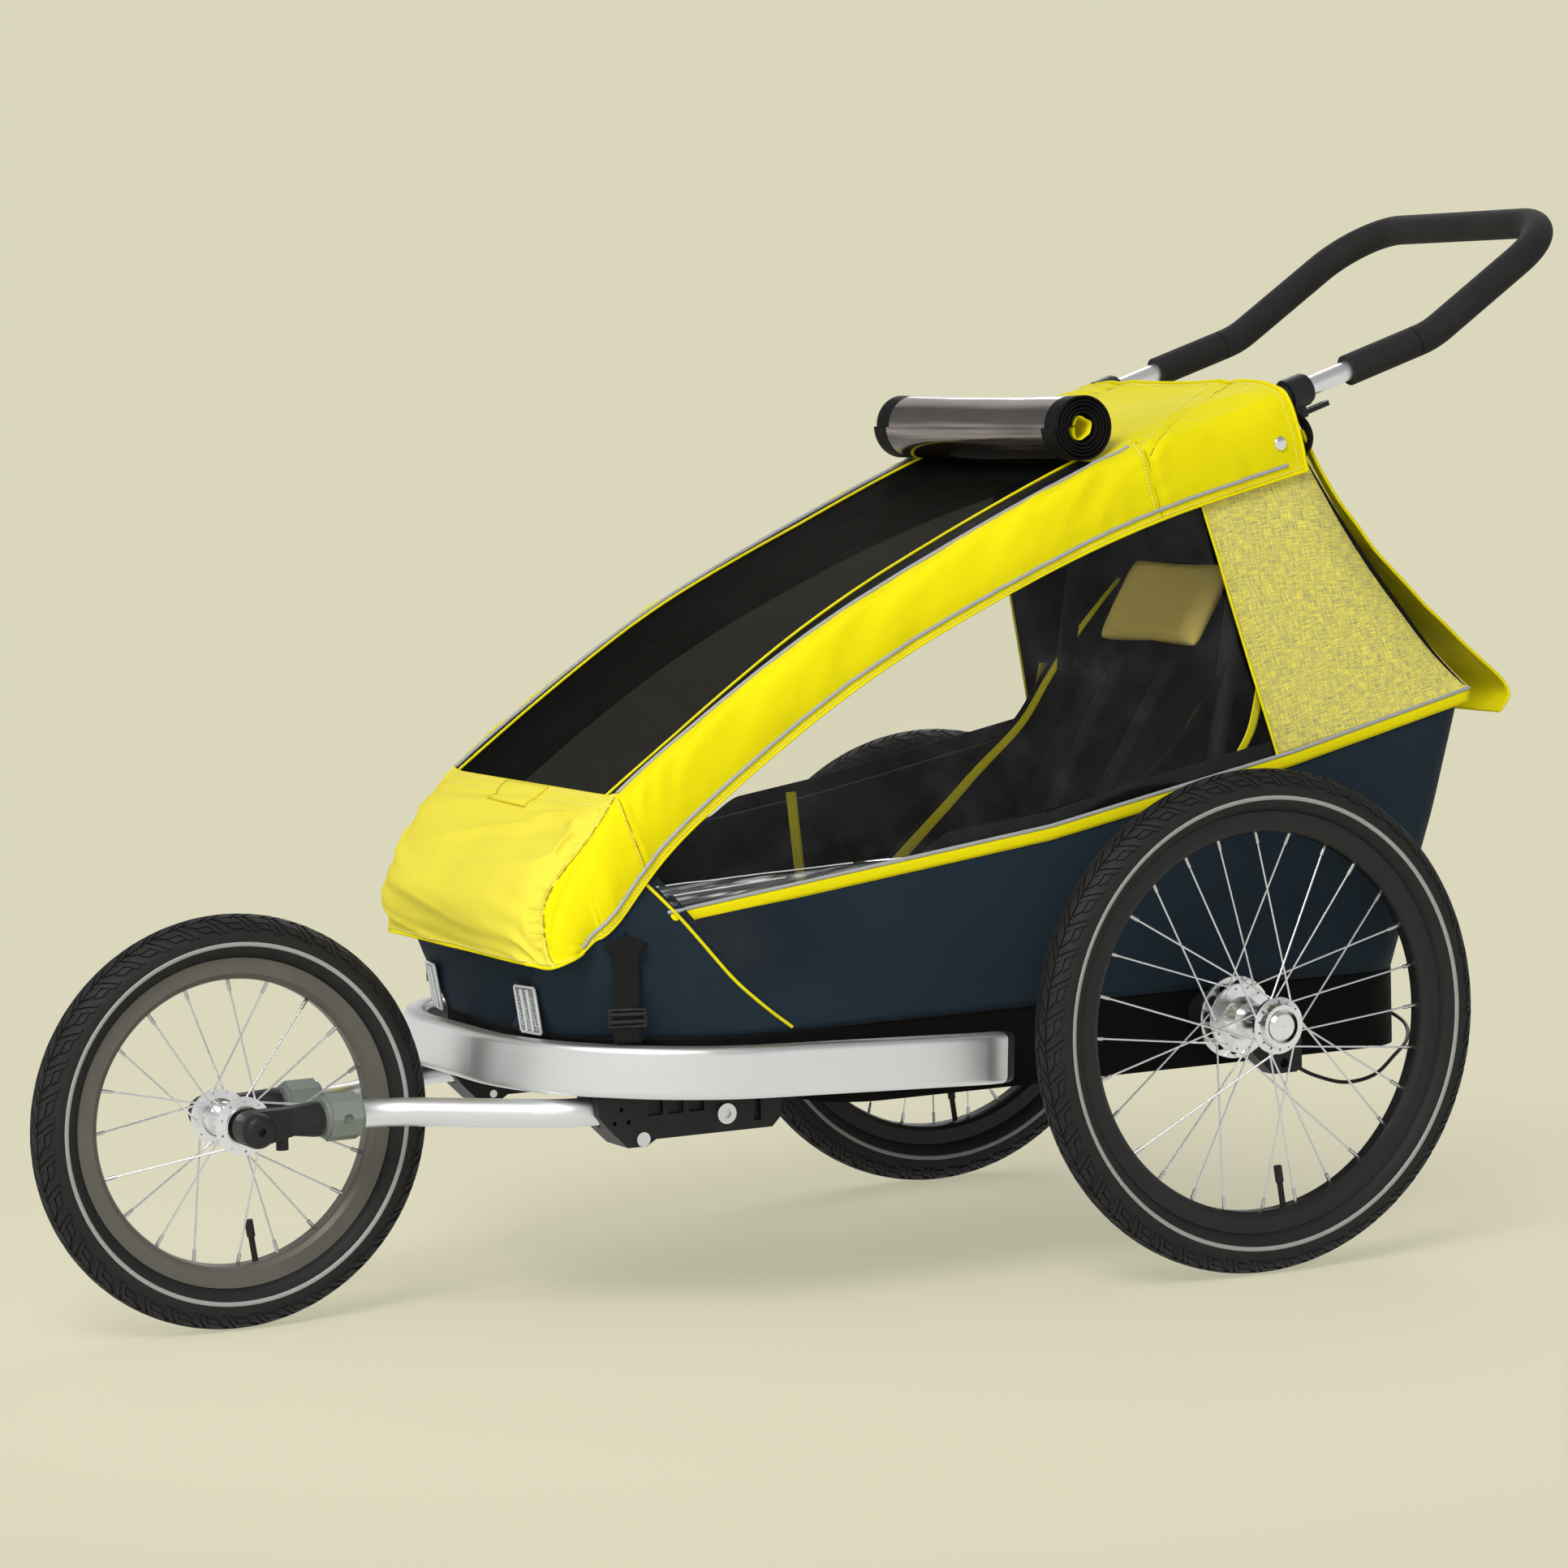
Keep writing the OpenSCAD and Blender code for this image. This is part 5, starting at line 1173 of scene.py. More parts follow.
class TRAILER_OT_tyres(bpy.types.Operator):
    """Build the treaded tyres with their pale rings and valves"""
    bl_idname = "trailer.tyres"
    bl_label = "Tyres"

    def execute(self, context):
        for wheel, middle in WHEELS:
            body, centre, radius = wheel + "_wheel", np.array(middle), middle[2]
            count = looks().front_blocks if wheel == "front" else looks().rear_blocks
            tyre = self.carcass(wheel + "_tyre_casing", centre, radius)
            fixed(tyre, body, "tyre_rubber", wheel + "_tyre")
            self.tread(wheel, centre, radius, count, body)
            self.rings(wheel, centre, radius, body)
            self.valve(wheel, centre, radius, body)
        return {"FINISHED"}

    def turned(self, name, profile, centre, material, steps=160):
        """A closed profile of radius and width, turned about the axle."""
        profile = np.array(profile, float)
        angle = np.linspace(0, 2 * math.pi, steps, endpoint=False)
        points = [[centre[0] + r * math.cos(a), centre[1] + w, centre[2] + r * math.sin(a)]
                  for a in angle for r, w in profile]
        return solid(name, points, ring_faces(steps, len(profile), steps), material)

    def carcass(self, name, centre, radius):
        """Round casing with a bead that sits in the rim."""
        middle, inside = radius - TREAD_TOP, CASING_R - 3
        angle = np.radians(np.linspace(-131, 131, 41))
        outer = [[middle + CASING_R * math.cos(a), CASING_R * CASING_WIDER * math.sin(a)] for a in angle]
        inner = [[middle + inside * math.cos(a), inside * math.sin(a)] for a in angle[::-1][4:-4:2]]
        bead = ((40.2, 14.0), (40.6, 10.4), (46.8, 10.0), (46.8, 7.2), (39.5, 7.0))
        bead = [[radius - deep, wide] for deep, wide in bead]
        return self.turned(name, outer + bead + inner + [[r, -w] for r, w in bead[::-1]], centre, "rubber")

    def tread(self, wheel, centre, radius, count, body):
        """Slanted blocks on both halves and small blocks on the shoulders."""
        pitch = 2 * math.pi / count
        parts = []
        for row, (low, high, wide, slant, shift) in enumerate(TREAD_ROWS):
            for side, mark in ((1, "l"), (-1, "r")):
                shape = self.block(radius - TREAD_TOP, low, high, pitch * wide, pitch * slant, side)
                start = pitch * (shift + (0.5 if side < 0 else 0))
                parts.append(grown(f"{wheel}_tread_{row}{mark}", "ring", shape, Count=count, Start=start,
                                   Centre=Vector(metres(centre)), Material=finish("rubber")))
        self.joined(parts, wheel + "_tread", body)

    def block(self, middle, low, high, wide, slant, side):
        """One tread block that follows the round of the tyre."""
        points, rows = [], 4
        for depth, taper in ((TREAD_TOP, 0.86), (BLOCK_FOOT, 1.0)):
            for k in range(rows):
                f = math.radians(low + (high - low) * k / (rows - 1))
                r, w = middle + depth * math.cos(f), side * depth * BLOCK_WIDER * math.sin(f)
                for e in (-0.5, 0.5):
                    a = wide * taper * e + slant * (k / (rows - 1) - 0.5)
                    points.append((r * math.sin(a) / 1000, w / 1000, r * math.cos(a) / 1000))
        n = 2 * rows
        faces = []
        for k in range(rows - 1):
            a = 2 * k
            faces += [[a, a + 1, a + 3, a + 2], [n + a, n + a + 2, n + a + 3, n + a + 1],
                      [a, a + 2, n + a + 2, n + a], [a + 1, n + a + 1, n + a + 3, a + 3]]
        faces += [[0, n, n + 1, 1], [n - 2, n - 1, 2 * n - 1, 2 * n - 2]]
        mesh = new_mesh("tread_block", points, faces)
        face_out(mesh)
        return mesh

    def joined(self, parts, name, body):
        """Several pieces as one."""
        whole = parts[0]
        with bpy.context.temp_override(active_object=whole, selected_editable_objects=parts, object=whole):
            bpy.ops.object.join()
        whole.name = whole.data.name = name
        fixed(whole, body, "tyre_rubber")

    def rings(self, wheel, centre, radius, body):
        """Pale rings on both walls."""
        wide, at = looks().stripe_width, radius - RING_DEPTH
        rows = [at - wide / 2 + wide * k / 3 for k in range(4)]
        wall = [CASING_R * CASING_WIDER * math.sqrt(max(0, 1 - ((r - radius + TREAD_TOP) / CASING_R) ** 2))
                for r in rows]
        for side, label in ((1, "outer"), (-1, "inner")):
            profile = [[r, side * (w + 0.45)] for r, w in zip(rows, wall)]
            profile += [[r, side * (w - 0.6)] for r, w in zip(rows[::-1], wall[::-1])]
            fixed(self.turned(f"{wheel}_{label}_ring", profile, centre, "stripe", 120), body)

    def valve(self, wheel, centre, radius, body):
        """Valve stem with its cap, pointing at the hub."""
        angle = math.radians(-98)
        way = np.array([math.cos(angle), 0, math.sin(angle)])
        inside = radius - RIM_DEPTH
        for part, reach, thick, material in (("stem", (-2, 16, 30), 3.0, "rubber"),
                                             ("cap", (24, 26, 39, 40.5), 4.2, "plastic")):
            line = [centre + way * (inside - r) for r in reach]
            fixed(piping(f"{wheel}_valve_{part}", [line], thick, material, 12), body)


class TRAILER_OT_cover(bpy.types.Operator):
    """Build the roof cover with its seams, piping and trim"""
    bl_idname = "trailer.cover"
    bl_label = "Roof cover"

    def execute(self, context):
        t = np.unique(np.concatenate([np.linspace(REAR_T, END_T, 236), [OPEN_T, NOSE_T]]))
        s = np.unique(np.round(np.concatenate([np.linspace(0, LAST, 187), [BAND_TOP, LAST - BAND_TOP]]), 4))
        grid = dressed_cover(t[:, None], s[None, :])
        mid_t, mid_s = (t[:-1] + t[1:]) / 2, (s[:-1] + s[1:]) / 2
        mid_t, mid_s = np.meshgrid(mid_t, mid_s, indexing="ij")
        half = np.minimum(mid_s, LAST - mid_s)
        keep = ~((mid_t > OPEN_T) & (mid_t < NOSE_T) & (half > BAND_TOP))
        corner = run(CORNER_SEAM, 60)
        nose = (mid_t > NOSE_T) & (half > np.interp(mid_t, corner[:, 0], corner[:, 1]))
        piece = sheet("roof_cover", grid, ["yellow", "lemon"], keep, nose, wall=1.2, flip=True,
                      inside="yellow")
        fixed(piece, ROOF, "yellow_fabric", "canopy_cover")
        self.trim()
        return {"FINISHED"}

    def trim(self):
        """Piping along the band's edges, stitched hems, dark piping along the seams as painted seam shadow,
        the zip strip, the tab and the snaps.
        """
        lower = piping("band_lower_piping", on_both(lengthwise(0.45, 0.24, 6.5, 150), 0.2), 2.1, "tape")
        upper = piping("band_upper_piping", on_both(lengthwise(4.02, 1.02, 4.25, 110), 0.4), 2.1, "tape")
        for piece in (lower, upper):
            fixed(piece, ROOF)
        edges = on_both(lengthwise(0.0, REAR_T, END_T, 160), 0)
        edges += [lifted(crosswise(END_T, 0.0, LAST, 120), 0)]
        fixed(piping("cover_hem", edges, 1.5, "yellow"), ROOF, "yellow_fabric")
        rear = lifted(crosswise(REAR_T, 0.0, LAST, 140), 0.3)
        fixed(piping("cover_rear_binding", [rear], 2.0, "yellow"), ROOF, "yellow_fabric")
        sewn = on_both(lengthwise(0.2, 0.14, 6.9, 200), 0.5)
        sewn += [lifted(crosswise(6.88, 1.0, LAST - 1.0, 90), 0.5)]
        for seam, ahead, aside in ((ROOF_SEAM, 0.07, 0.18), (BAND_SEAM, 0.035, 0), (CORNER_SEAM, -0.03, 0.18),
                                   (GUSSET_SEAM, 0.03, 0)):
            sewn += on_both(run(seam, 50) + [ahead, aside], 0.55)
        sewn += [lifted(crosswise(0.16, 0.3, LAST - 0.3, 140), 0.5)]
        sewn += [lifted(crosswise(k, 4.9, LAST - 4.9, 80), 0.5) for k in (4.33, 4.47)]
        fixed(stitches("cover_stitches", sewn, looks().stitch_pitch, "pale_thread", 0.55), ROOF)
        # Dark yellow piping along the seams: painted seam shadow.
        seam_shadow_lines = []
        for seam in (CORNER_SEAM, ROOF_SEAM, BAND_SEAM, GUSSET_SEAM):
            seam_shadow_lines += on_both(run(seam, 60), 0.1)
        fixed(piping("cover_seam_shadow_lines", seam_shadow_lines, 0.6, "seam", 6), ROOF)
        self.zip_strip()
        self.corner_loops()
        self.tab()
        self.snaps()

    def zip_strip(self):
        """Black strip beside the mesh, with a yellow zip welt along its inner edge."""
        t, f = crossed((OPEN_T - 0.05, NOSE_T + 0.03, 90), (0, 1, 9))
        s = 4.0 + f * (lookup(t, ZIP_LINE) - 4.0)
        for side, label in SIDES:
            grid = cover(t, s if side > 0 else LAST - s)
            grid[..., 2] -= 1.2 + 0.6 * np.sin(np.pi * f)
            laid_cloth(f"{label}_zip_strip", grid, "black", ROOF, "black_fabric", "stretched", ["roof_cover"],
                       flip=side > 0)
            welt = piping(f"{label}_zip_welt", [grid[:, -1] + [0, 0, 1.2]], 1.5, "thread")
            fixed(welt, ROOF)

    def corner_loops(self):
        """Black webbing loops that tie the rear corners of the cover down."""
        line = run([[-138, 846], [-151, 836], [-158, 822], [-156, 808], [-147, 800]], 24)
        g = np.linspace(-8, 8, 7)[None, :]
        for side, label in SIDES:
            grid = points_of(line[:, :1], side * (200 + g), line[:, 1:])
            laid_cloth(f"{label}_corner_loop", grid, "web", ROOF, "webbing", "stretched", ["roof_cover"],
                       wall=1.8, flip=side > 0)

    def tab(self):
        """Hook-and-loop tab in the middle of the nose's top hem."""
        start, end, middle = 4.3, 4.68, 8.92
        t, s = crossed((start, end, 9), (8.2, 9.65, 16))
        taper = 1 - 0.12 * ((t - start) / (end - start))
        line = np.stack(np.broadcast_arrays(t, middle + (s - middle) * taper), -1)
        grid = lifted(line.reshape(-1, 2), 1.9).reshape(9, 16, 3)
        laid_cloth("nose_tab", grid, "lemon", ROOF, "yellow_fabric", "laid", ["roof_cover"],
                   wall=1.4, flip=True)
        ring = [grid[0], grid[:, -1], grid[-1], grid[:, 0]]
        fixed(stitches("nose_tab_stitches", [r + [0.6, 0, 0.6] for r in ring], 3.2, "thread"), ROOF)

    def snaps(self):
        """Domed snap on either side of the rear roof."""
        rows = [(7.5, 0.0), (7.6, 0.9), (6.8, 1.9), (5.0, 3.0), (2.6, 3.6), (0.05, 3.8)]
        n, last = 24, len(rows) - 1
        faces = ring_faces(len(rows), n, last) + [list(range(n)), list(range(last * n, len(rows) * n))]
        for side, label in SIDES:
            p, q = (lifted([[0.26, 1.18]], lift, side)[0] for lift in (0, 1))
            way = (q - p) / np.linalg.norm(q - p)
            u = np.cross(way, [1, 0, 0])
            u /= np.linalg.norm(u)
            w = np.cross(way, u)
            points = [p + way * h + r * (math.cos(a) * u + math.sin(a) * w) for r, h in rows
                      for a in np.linspace(0, 2 * math.pi, n, endpoint=False)]
            fixed(solid(f"{label}_snap", points, faces, "polished"), ROOF, "steel")


class TRAILER_OT_mesh_front(bpy.types.Operator):
    """Build the black mesh front"""
    bl_idname = "trailer.mesh_front"
    bl_label = "Mesh front"

    def execute(self, context):
        t, f = crossed((OPEN_T - 0.03, NOSE_T + 0.03, 100), (0, 1, 60))
        inner = lookup(t, ZIP_LINE)
        s = inner + f * (LAST - 2 * inner)
        grid = cover(t, s)
        grid[..., 2] -= 1.6 + 3.0 * np.sin(np.pi * f) + 0.8 * ripple(t * 5, s * 0.7, 12) * np.sin(np.pi * f)
        laid_cloth("mesh_front", grid, "net", ROOF, "mesh_fabric", "stretched",
                   ["left_zip_strip", "right_zip_strip"], "mesh_screen", wall=0, flip=True)
        hem = piping("mesh_front_hem", [grid[-1] + [0, 0, 1.0]], 1.6, "thread")
        fixed(hem, ROOF)
        return {"FINISHED"}


class TRAILER_OT_rain_roll(bpy.types.Operator):
    """Build the rolled rain cover with its black end bands"""
    bl_idname = "trailer.rain_roll"
    bl_label = "Rolled rain cover"

    def execute(self, context):
        turns, inner, outer, film_wall, band_from = 5, 12.5, 32.0, 1.9, 158
        angle = np.linspace(0, 2 * math.pi * turns, 60 * turns + 1)
        radius = inner + (outer - inner) * angle / angle[-1]
        y = np.concatenate([np.linspace(-186, -160, 6), np.linspace(-156, 156, 30), np.linspace(160, 186, 6)])
        end = np.clip((np.abs(y) - 150) / 36, 0, 1)
        sag = 1.2 * np.cos(np.pi * y / 372)
        wave = 0.5 * ripple(y[None, :] / 60, angle[:, None] / 2, 21)
        r = radius[:, None] + wave + 0.5 * end[None, :]
        x = ROLL_X + r * np.cos(angle)[:, None]
        z = ROLL_Z + r * np.sin(angle)[:, None] - sag[None, :]
        outside = np.abs((y[:-1] + y[1:]) / 2) > band_from
        band = np.broadcast_to(outside[None, :], (len(angle) - 1, len(y) - 1))
        grid = points_of(x, y[None, :], z)
        roll = sheet("rain_roll", grid, ["tinted", "black"], None, band, wall=film_wall)
        fixed(roll, ROOF, "tinted_film", "rain_cover_roll")
        a, q = crossed((0.3, 2 * math.pi + 0.1, 50), (0, 1, 7))
        for side, label in SIDES:
            core = points_of(ROLL_X + (10.2 - 1.5 * np.sin(2.2 * a) * q) * np.cos(a), side * (120 + 64 * q),
                             ROLL_Z - 1 + (10.2 - 2.0 * np.cos(3 * a) * q) * np.sin(a))
            laid_cloth(f"{label}_roll_lining", core, "yellow", ROOF, "yellow_fabric", "folded", ["rain_roll"],
                       flip=side < 0)
        return {"FINISHED"}


class TRAILER_OT_tub(bpy.types.Operator):
    """Build the tub, its belt, its piping and its straps"""
    bl_idname = "trailer.tub"
    bl_label = "Tub"

    def execute(self, context):
        grid = tub_grid()
        normal = normals_of(grid)
        out = np.sign((normal[..., :2] * (grid[..., :2] - [150, 0])).sum(-1))
        across, along = spans(grid)
        folds = 1.1 * ripple(along / 70, across / 60, 31) + 0.5 * ripple(along / 24, across / 90, 32)
        f = np.linspace(1, 0, grid.shape[1])[None, :]
        grid = grid + normal * (out * folds * np.sin(np.pi * f))[..., None]
        wall = sheet("tub", grid, ["navy"], wall=1.6, flip=out.mean() < 0, inside="black")
        folding(wall, "navy_fabric", "tub_fabric")
        tree = surface_of(wall)
        self.lining(tub_grid())
        self.belt()
        self.lines(tree)
        self.straps()
        return {"FINISHED"}

    def lining(self, grid):
        """Cloth behind the nose that the hoop carries, so it lifts with the roof."""
        many = int(np.argmin(grid[:, 0, 0] > 600))
        strip = np.concatenate([grid[:many][::-1], grid[-2:-2 - many:-1]])[:, :-2]
        strip = strip * [0.93, 0.955, 1] + [42, 0, 0]
        laid_cloth("nose_lining", strip, "navy", ROOF, "navy_fabric", "hung", ["roof_cover"])

    def belt(self):
        """Yellow belt with a grey welt above it, along both sides."""
        x = np.linspace(588, -322, 120)
        z = lookup(x, BELT)
        f = np.linspace(0, 1, 5)[None, :]
        for side, label in SIDES:
            y = side * (lookup(x, TUB_HIGH) + 0.7 + 2.6 * soft_step(x, 556, 582))
            strip = points_of(x[:, None], y[:, None] + side * 0.9 * np.sin(np.pi * f), z[:, None] - 12.5 * f)
            laid_cloth(f"{label}_belt", strip, "yellow", CHASSIS, "yellow_fabric", "stretched", ["tub"],
                       flip=side < 0)
            welt = np.stack([x, y + side * 0.3, z + 1.2], -1)
            folding(piping(f"{label}_belt_welt", [welt], 2.1, "tape"))
            sewn = np.stack([x, y + side * 0.5, z - 10.8], -1)
            folding(stitches(f"{label}_belt_stitches", [sewn], looks().stitch_pitch, "thread", 0.35))

    def lines(self, tree):
        """Curved yellow welt on each side in front, and the seam of the front corner."""
        curve = run([[613, 428], [577, 388], [532, 331], [500, 300], [470, 276]], 50)
        second = run([[604, 424], [567, 384], [522, 327], [490, 297], [462, 277]], 50)
        for side, label in SIDES:
            welt = piping(f"{label}_side_welt", [on_side(tree, curve, side, 0.6)], 1.7, "thread")
            folding(welt, "yellow_fabric")
            sewn = on_side(tree, second, side, 0.4)
            folding(stitches(f"{label}_side_stitches", [sewn], 3.6, "dark_thread"))

    def straps(self):
        """Webbing that holds the nose down, with a tab above and a ladder buckle below."""
        f, g = crossed((0, 1, 26), (-1, 1, 9))
        wide = np.where(f > 0.8, 13 + 8 * soft_step(f, 0.8, 0.86) - 23 * soft_step(f, 0.88, 1.0), 13)
        cos, sin = math.cos(STRAP_TURN), math.sin(STRAP_TURN)

        def at(side, a, b, c):
            x, y, z = STRAP_FOOT
            return points_of(x + a * cos - b * sin, side * (y + a * sin + b * cos + STRAP_LEAN * c), z + c)

        for side, label in SIDES:
            grid = at(side, g * wide, 2.2 + 0.6 * np.sin(3 * np.pi * f), 106 * f)
            laid_cloth(f"{label}_strap", grid, "web", CHASSIS, "webbing", "stretched", ["tub"], "side_straps",
                       wall=1.4, flip=side < 0)
            ring = [at(side, a, 2.6, c) for a, c in ((-17, 16), (17, 16), (17, 32), (-17, 32), (-17, 16))]
            bars = [[at(side, a, 3.6, c) for a in (-17, 17)] for c in (20.5, 27.5)]
            folding(piping(f"{label}_buckle", [ring, *bars], 2.0, "plastic", 8))


class TRAILER_OT_windows(bpy.types.Operator):
    """Build the clear side windows"""
    bl_idname = "trailer.windows"
    bl_label = "Side windows"

    def execute(self, context):
        f, g = crossed((0, 1, 90), (0, 1, 34))
        for side, label in SIDES:
            xl, xu = 574 - 658 * f, 606 - 626 * f
            zl = lookup(xl, BELT) + 1.5
            zu = cover_edge(xu) + 6
            yl = lookup(xl, TUB_HIGH) - 1.0
            x = xl + g * (xu - xl)
            y = yl + g * (206 - yl)
            slack = bell(g - 0.06, 0.09) * soft_step(-f, -0.55, -0.05) * 5 * ripple(f * 9, g * 8, 41 + side)
            y = y - 2.4 * np.sin(np.pi * g) + slack + 1.2 * ripple(f * 7, g * 3, 43) * np.sin(np.pi * g)
            grid = points_of(x, side * y, zl + g * (zu - zl))
            laid_cloth(f"{label}_window", grid, "clear", CHASSIS, "clear_film", "stretched",
                       [f"{label}_belt"], "side_windows", wall=0, flip=side > 0)
            self.slack(side, label)
            self.hem(side, label)
            self.ribbon(side, label)
        return {"FINISHED"}

    def slack(self, side, label):
        """Film that bags out along the lower edge of the window in front, with pale tubes along two creases as
        painted highlights.
        """
        f, g = crossed((0, 1, 120), (0, 1, 19))
        x = 580 - 240 * f
        tall = 22 * (1 - f) ** 0.9 + 1.5 * ripple(f * 9, 0, 45) * (1 - f)
        out = (4.0 + 1.6 * ripple(f * 6, g * 3, 46)) * np.sin(np.pi * g)
        out = out + 1.2 * np.sin(3 * np.pi * g) * (1 - f)
        y = lookup(x, TUB_HIGH) + 0.2 + out - 3.0 * g
        grid = points_of(x + 17 * g * (1 - f), side * y, lookup(x, BELT) + 3 + tall * g)
        laid_cloth(f"{label}_window_slack", grid, "slack", CHASSIS, "clear_film", "gathered",
                   [f"{label}_window"], wall=0, flip=side > 0)
        # Pale tubes along the top edge and along one crease: painted highlights.
        lines = [grid[:96, -1], grid[4:60, 10] + [0, 0.3 * side, 0]]
        folding(piping(f"{label}_slack_painted_highlights", lines, 0.7, "pane", 6), "clear_film")

    def hem(self, side, label):
        """Black hem inside the lower edge of the window."""
        f, g = crossed((0, 1, 80), (0, 1, 4))
        x = 330 - 410 * f
        y = lookup(x, TUB_HIGH) - 2.4 - 1.2 * g
        grid = points_of(x, side * y, lookup(x, BELT) + 1 + 17 * g * soft_step(f, 0, 0.12))
        laid_cloth(f"{label}_window_hem", grid, "black", CHASSIS, "black_fabric", "stretched",
                   [f"{label}_window"], wall=0.8, flip=side < 0)

    def ribbon(self, side, label):
        """Yellow ribbons that hang inside the wall and behind the window."""
        f, g = crossed((0, 1, 30), (-1, 1, 5))
        wall = points_of(219 - 12 * f + 6 * g, side * (233 - 0.5 * f), 452 - 130 * f)
        line = run([[-85, 574], [-80, 551], [-72, 526], [-57, 502]], 30)
        panel = points_of(line[:, :1] + 5.1 * g, side * 216, line[:, 1:])
        for place, grid, behind in (("wall", wall, "tub"), ("panel", panel, f"{label}_rear_panel")):
            laid_cloth(f"{label}_{place}_ribbon", grid, "ribbon", CHASSIS, "webbing", "hung", [behind],
                       wall=0.8, flip=side > 0)


class TRAILER_OT_rear_cloth(bpy.types.Operator):
    """Build the flecked rear side panels and the yellow rear flap"""
    bl_idname = "trailer.rear_cloth"
    bl_label = "Rear panels and flap"

    def execute(self, context):
        f, g = crossed((0, 1, 60), (0, 1, 60))
        rear = spline(PANEL_REAR, g * 3)
        xf = -86 + 64 * g
        foot, top = lookup(-84, BELT) + 1, cover_edge(-22) + 6
        zf = foot + g * (top - foot)
        x = xf + f * (rear[..., 0] - xf)
        z = zf + f * (rear[..., 1] - zf)
        z = np.maximum(z, lookup(x, BELT) + 0.5)
        y = 243 + g * (207 - 243) - 3 * np.sin(np.pi * f) * np.sin(np.pi * g)
        y = y + 1.3 * ripple(f * 4, g * 5, 51) * np.sin(np.pi * g)
        y = y - 13 * np.sin(np.pi * g) ** 0.7 * soft_step(f, 0.74, 1.1)
        for side, label in SIDES:
            grid = points_of(x, side * y, z)
            laid_cloth(f"{label}_rear_panel", grid, "melange", CHASSIS, "melange_fabric", "stretched",
                       [f"{label}_belt"], "side_panels", wall=1.2, flip=side < 0, inside="black")
            folding(piping(f"{label}_panel_edge", [grid[0] + [0, side * 0.6, 0]], 1.5, "thread"))
            sewn = [grid[3] + [0, side * 0.7, 0]]
            folding(stitches(f"{label}_panel_stitches", sewn, 3.6, "thread", 0.35))
        self.flap()
        return {"FINISHED"}

    def flap(self):
        """Yellow flap that hangs over the rear, with its hem."""
        t, v = crossed((0, 5, 70), (1, -1, 60))
        line = spline(FLAP_LINE, t[:, 0])
        half = np.linspace(196, 230, 70)[:, None]
        bow = 14 * (1 - v ** 2) * np.sin(np.linspace(0, np.pi, 70))[:, None]
        fold = 1.8 * ripple(t * 1.6, v * 4, 61) + 0.8 * ripple(t * 4, v * 7, 62)
        grid = points_of(line[:, :1] - bow - fold, v * half, line[:, 1:])
        laid_cloth("rear_flap_cloth", grid, "yellow", CHASSIS, "yellow_fabric", "hung", ["roof_cover"],
                   "rear_flap", wall=1.2, flip=True)
        # Black cloth under the flap: painted shade of the gap.
        self.gap_shade_cloth()
        hems = [grid[:, 0], grid[:, -1], grid[-1]]
        folding(piping("rear_flap_hem", hems, 1.8, "yellow"), "yellow_fabric")

    def gap_shade_cloth(self):
        """Black cloth under the flap, from one rear panel to the other: a dark sheet as painted shade in the
        gap between the panels and the flap.
        """
        g, v = crossed((0, 1, 40), (-1, 1, 50))
        line = spline(PANEL_REAR, 3 * g[:, 0])
        wide = (241 - 36 * g) * v
        sag = 5 * (1 - v ** 2) * np.sin(np.pi * g) + 1.5 * ripple(g * 5, v * 6, 63)
        grid = points_of(line[:, :1] + 3 + sag, wide, line[:, 1:])
        laid_cloth("rear_gap_shade_cloth", grid, "black", CHASSIS, "black_fabric", "stretched",
                   ["left_rear_panel", "right_rear_panel"])


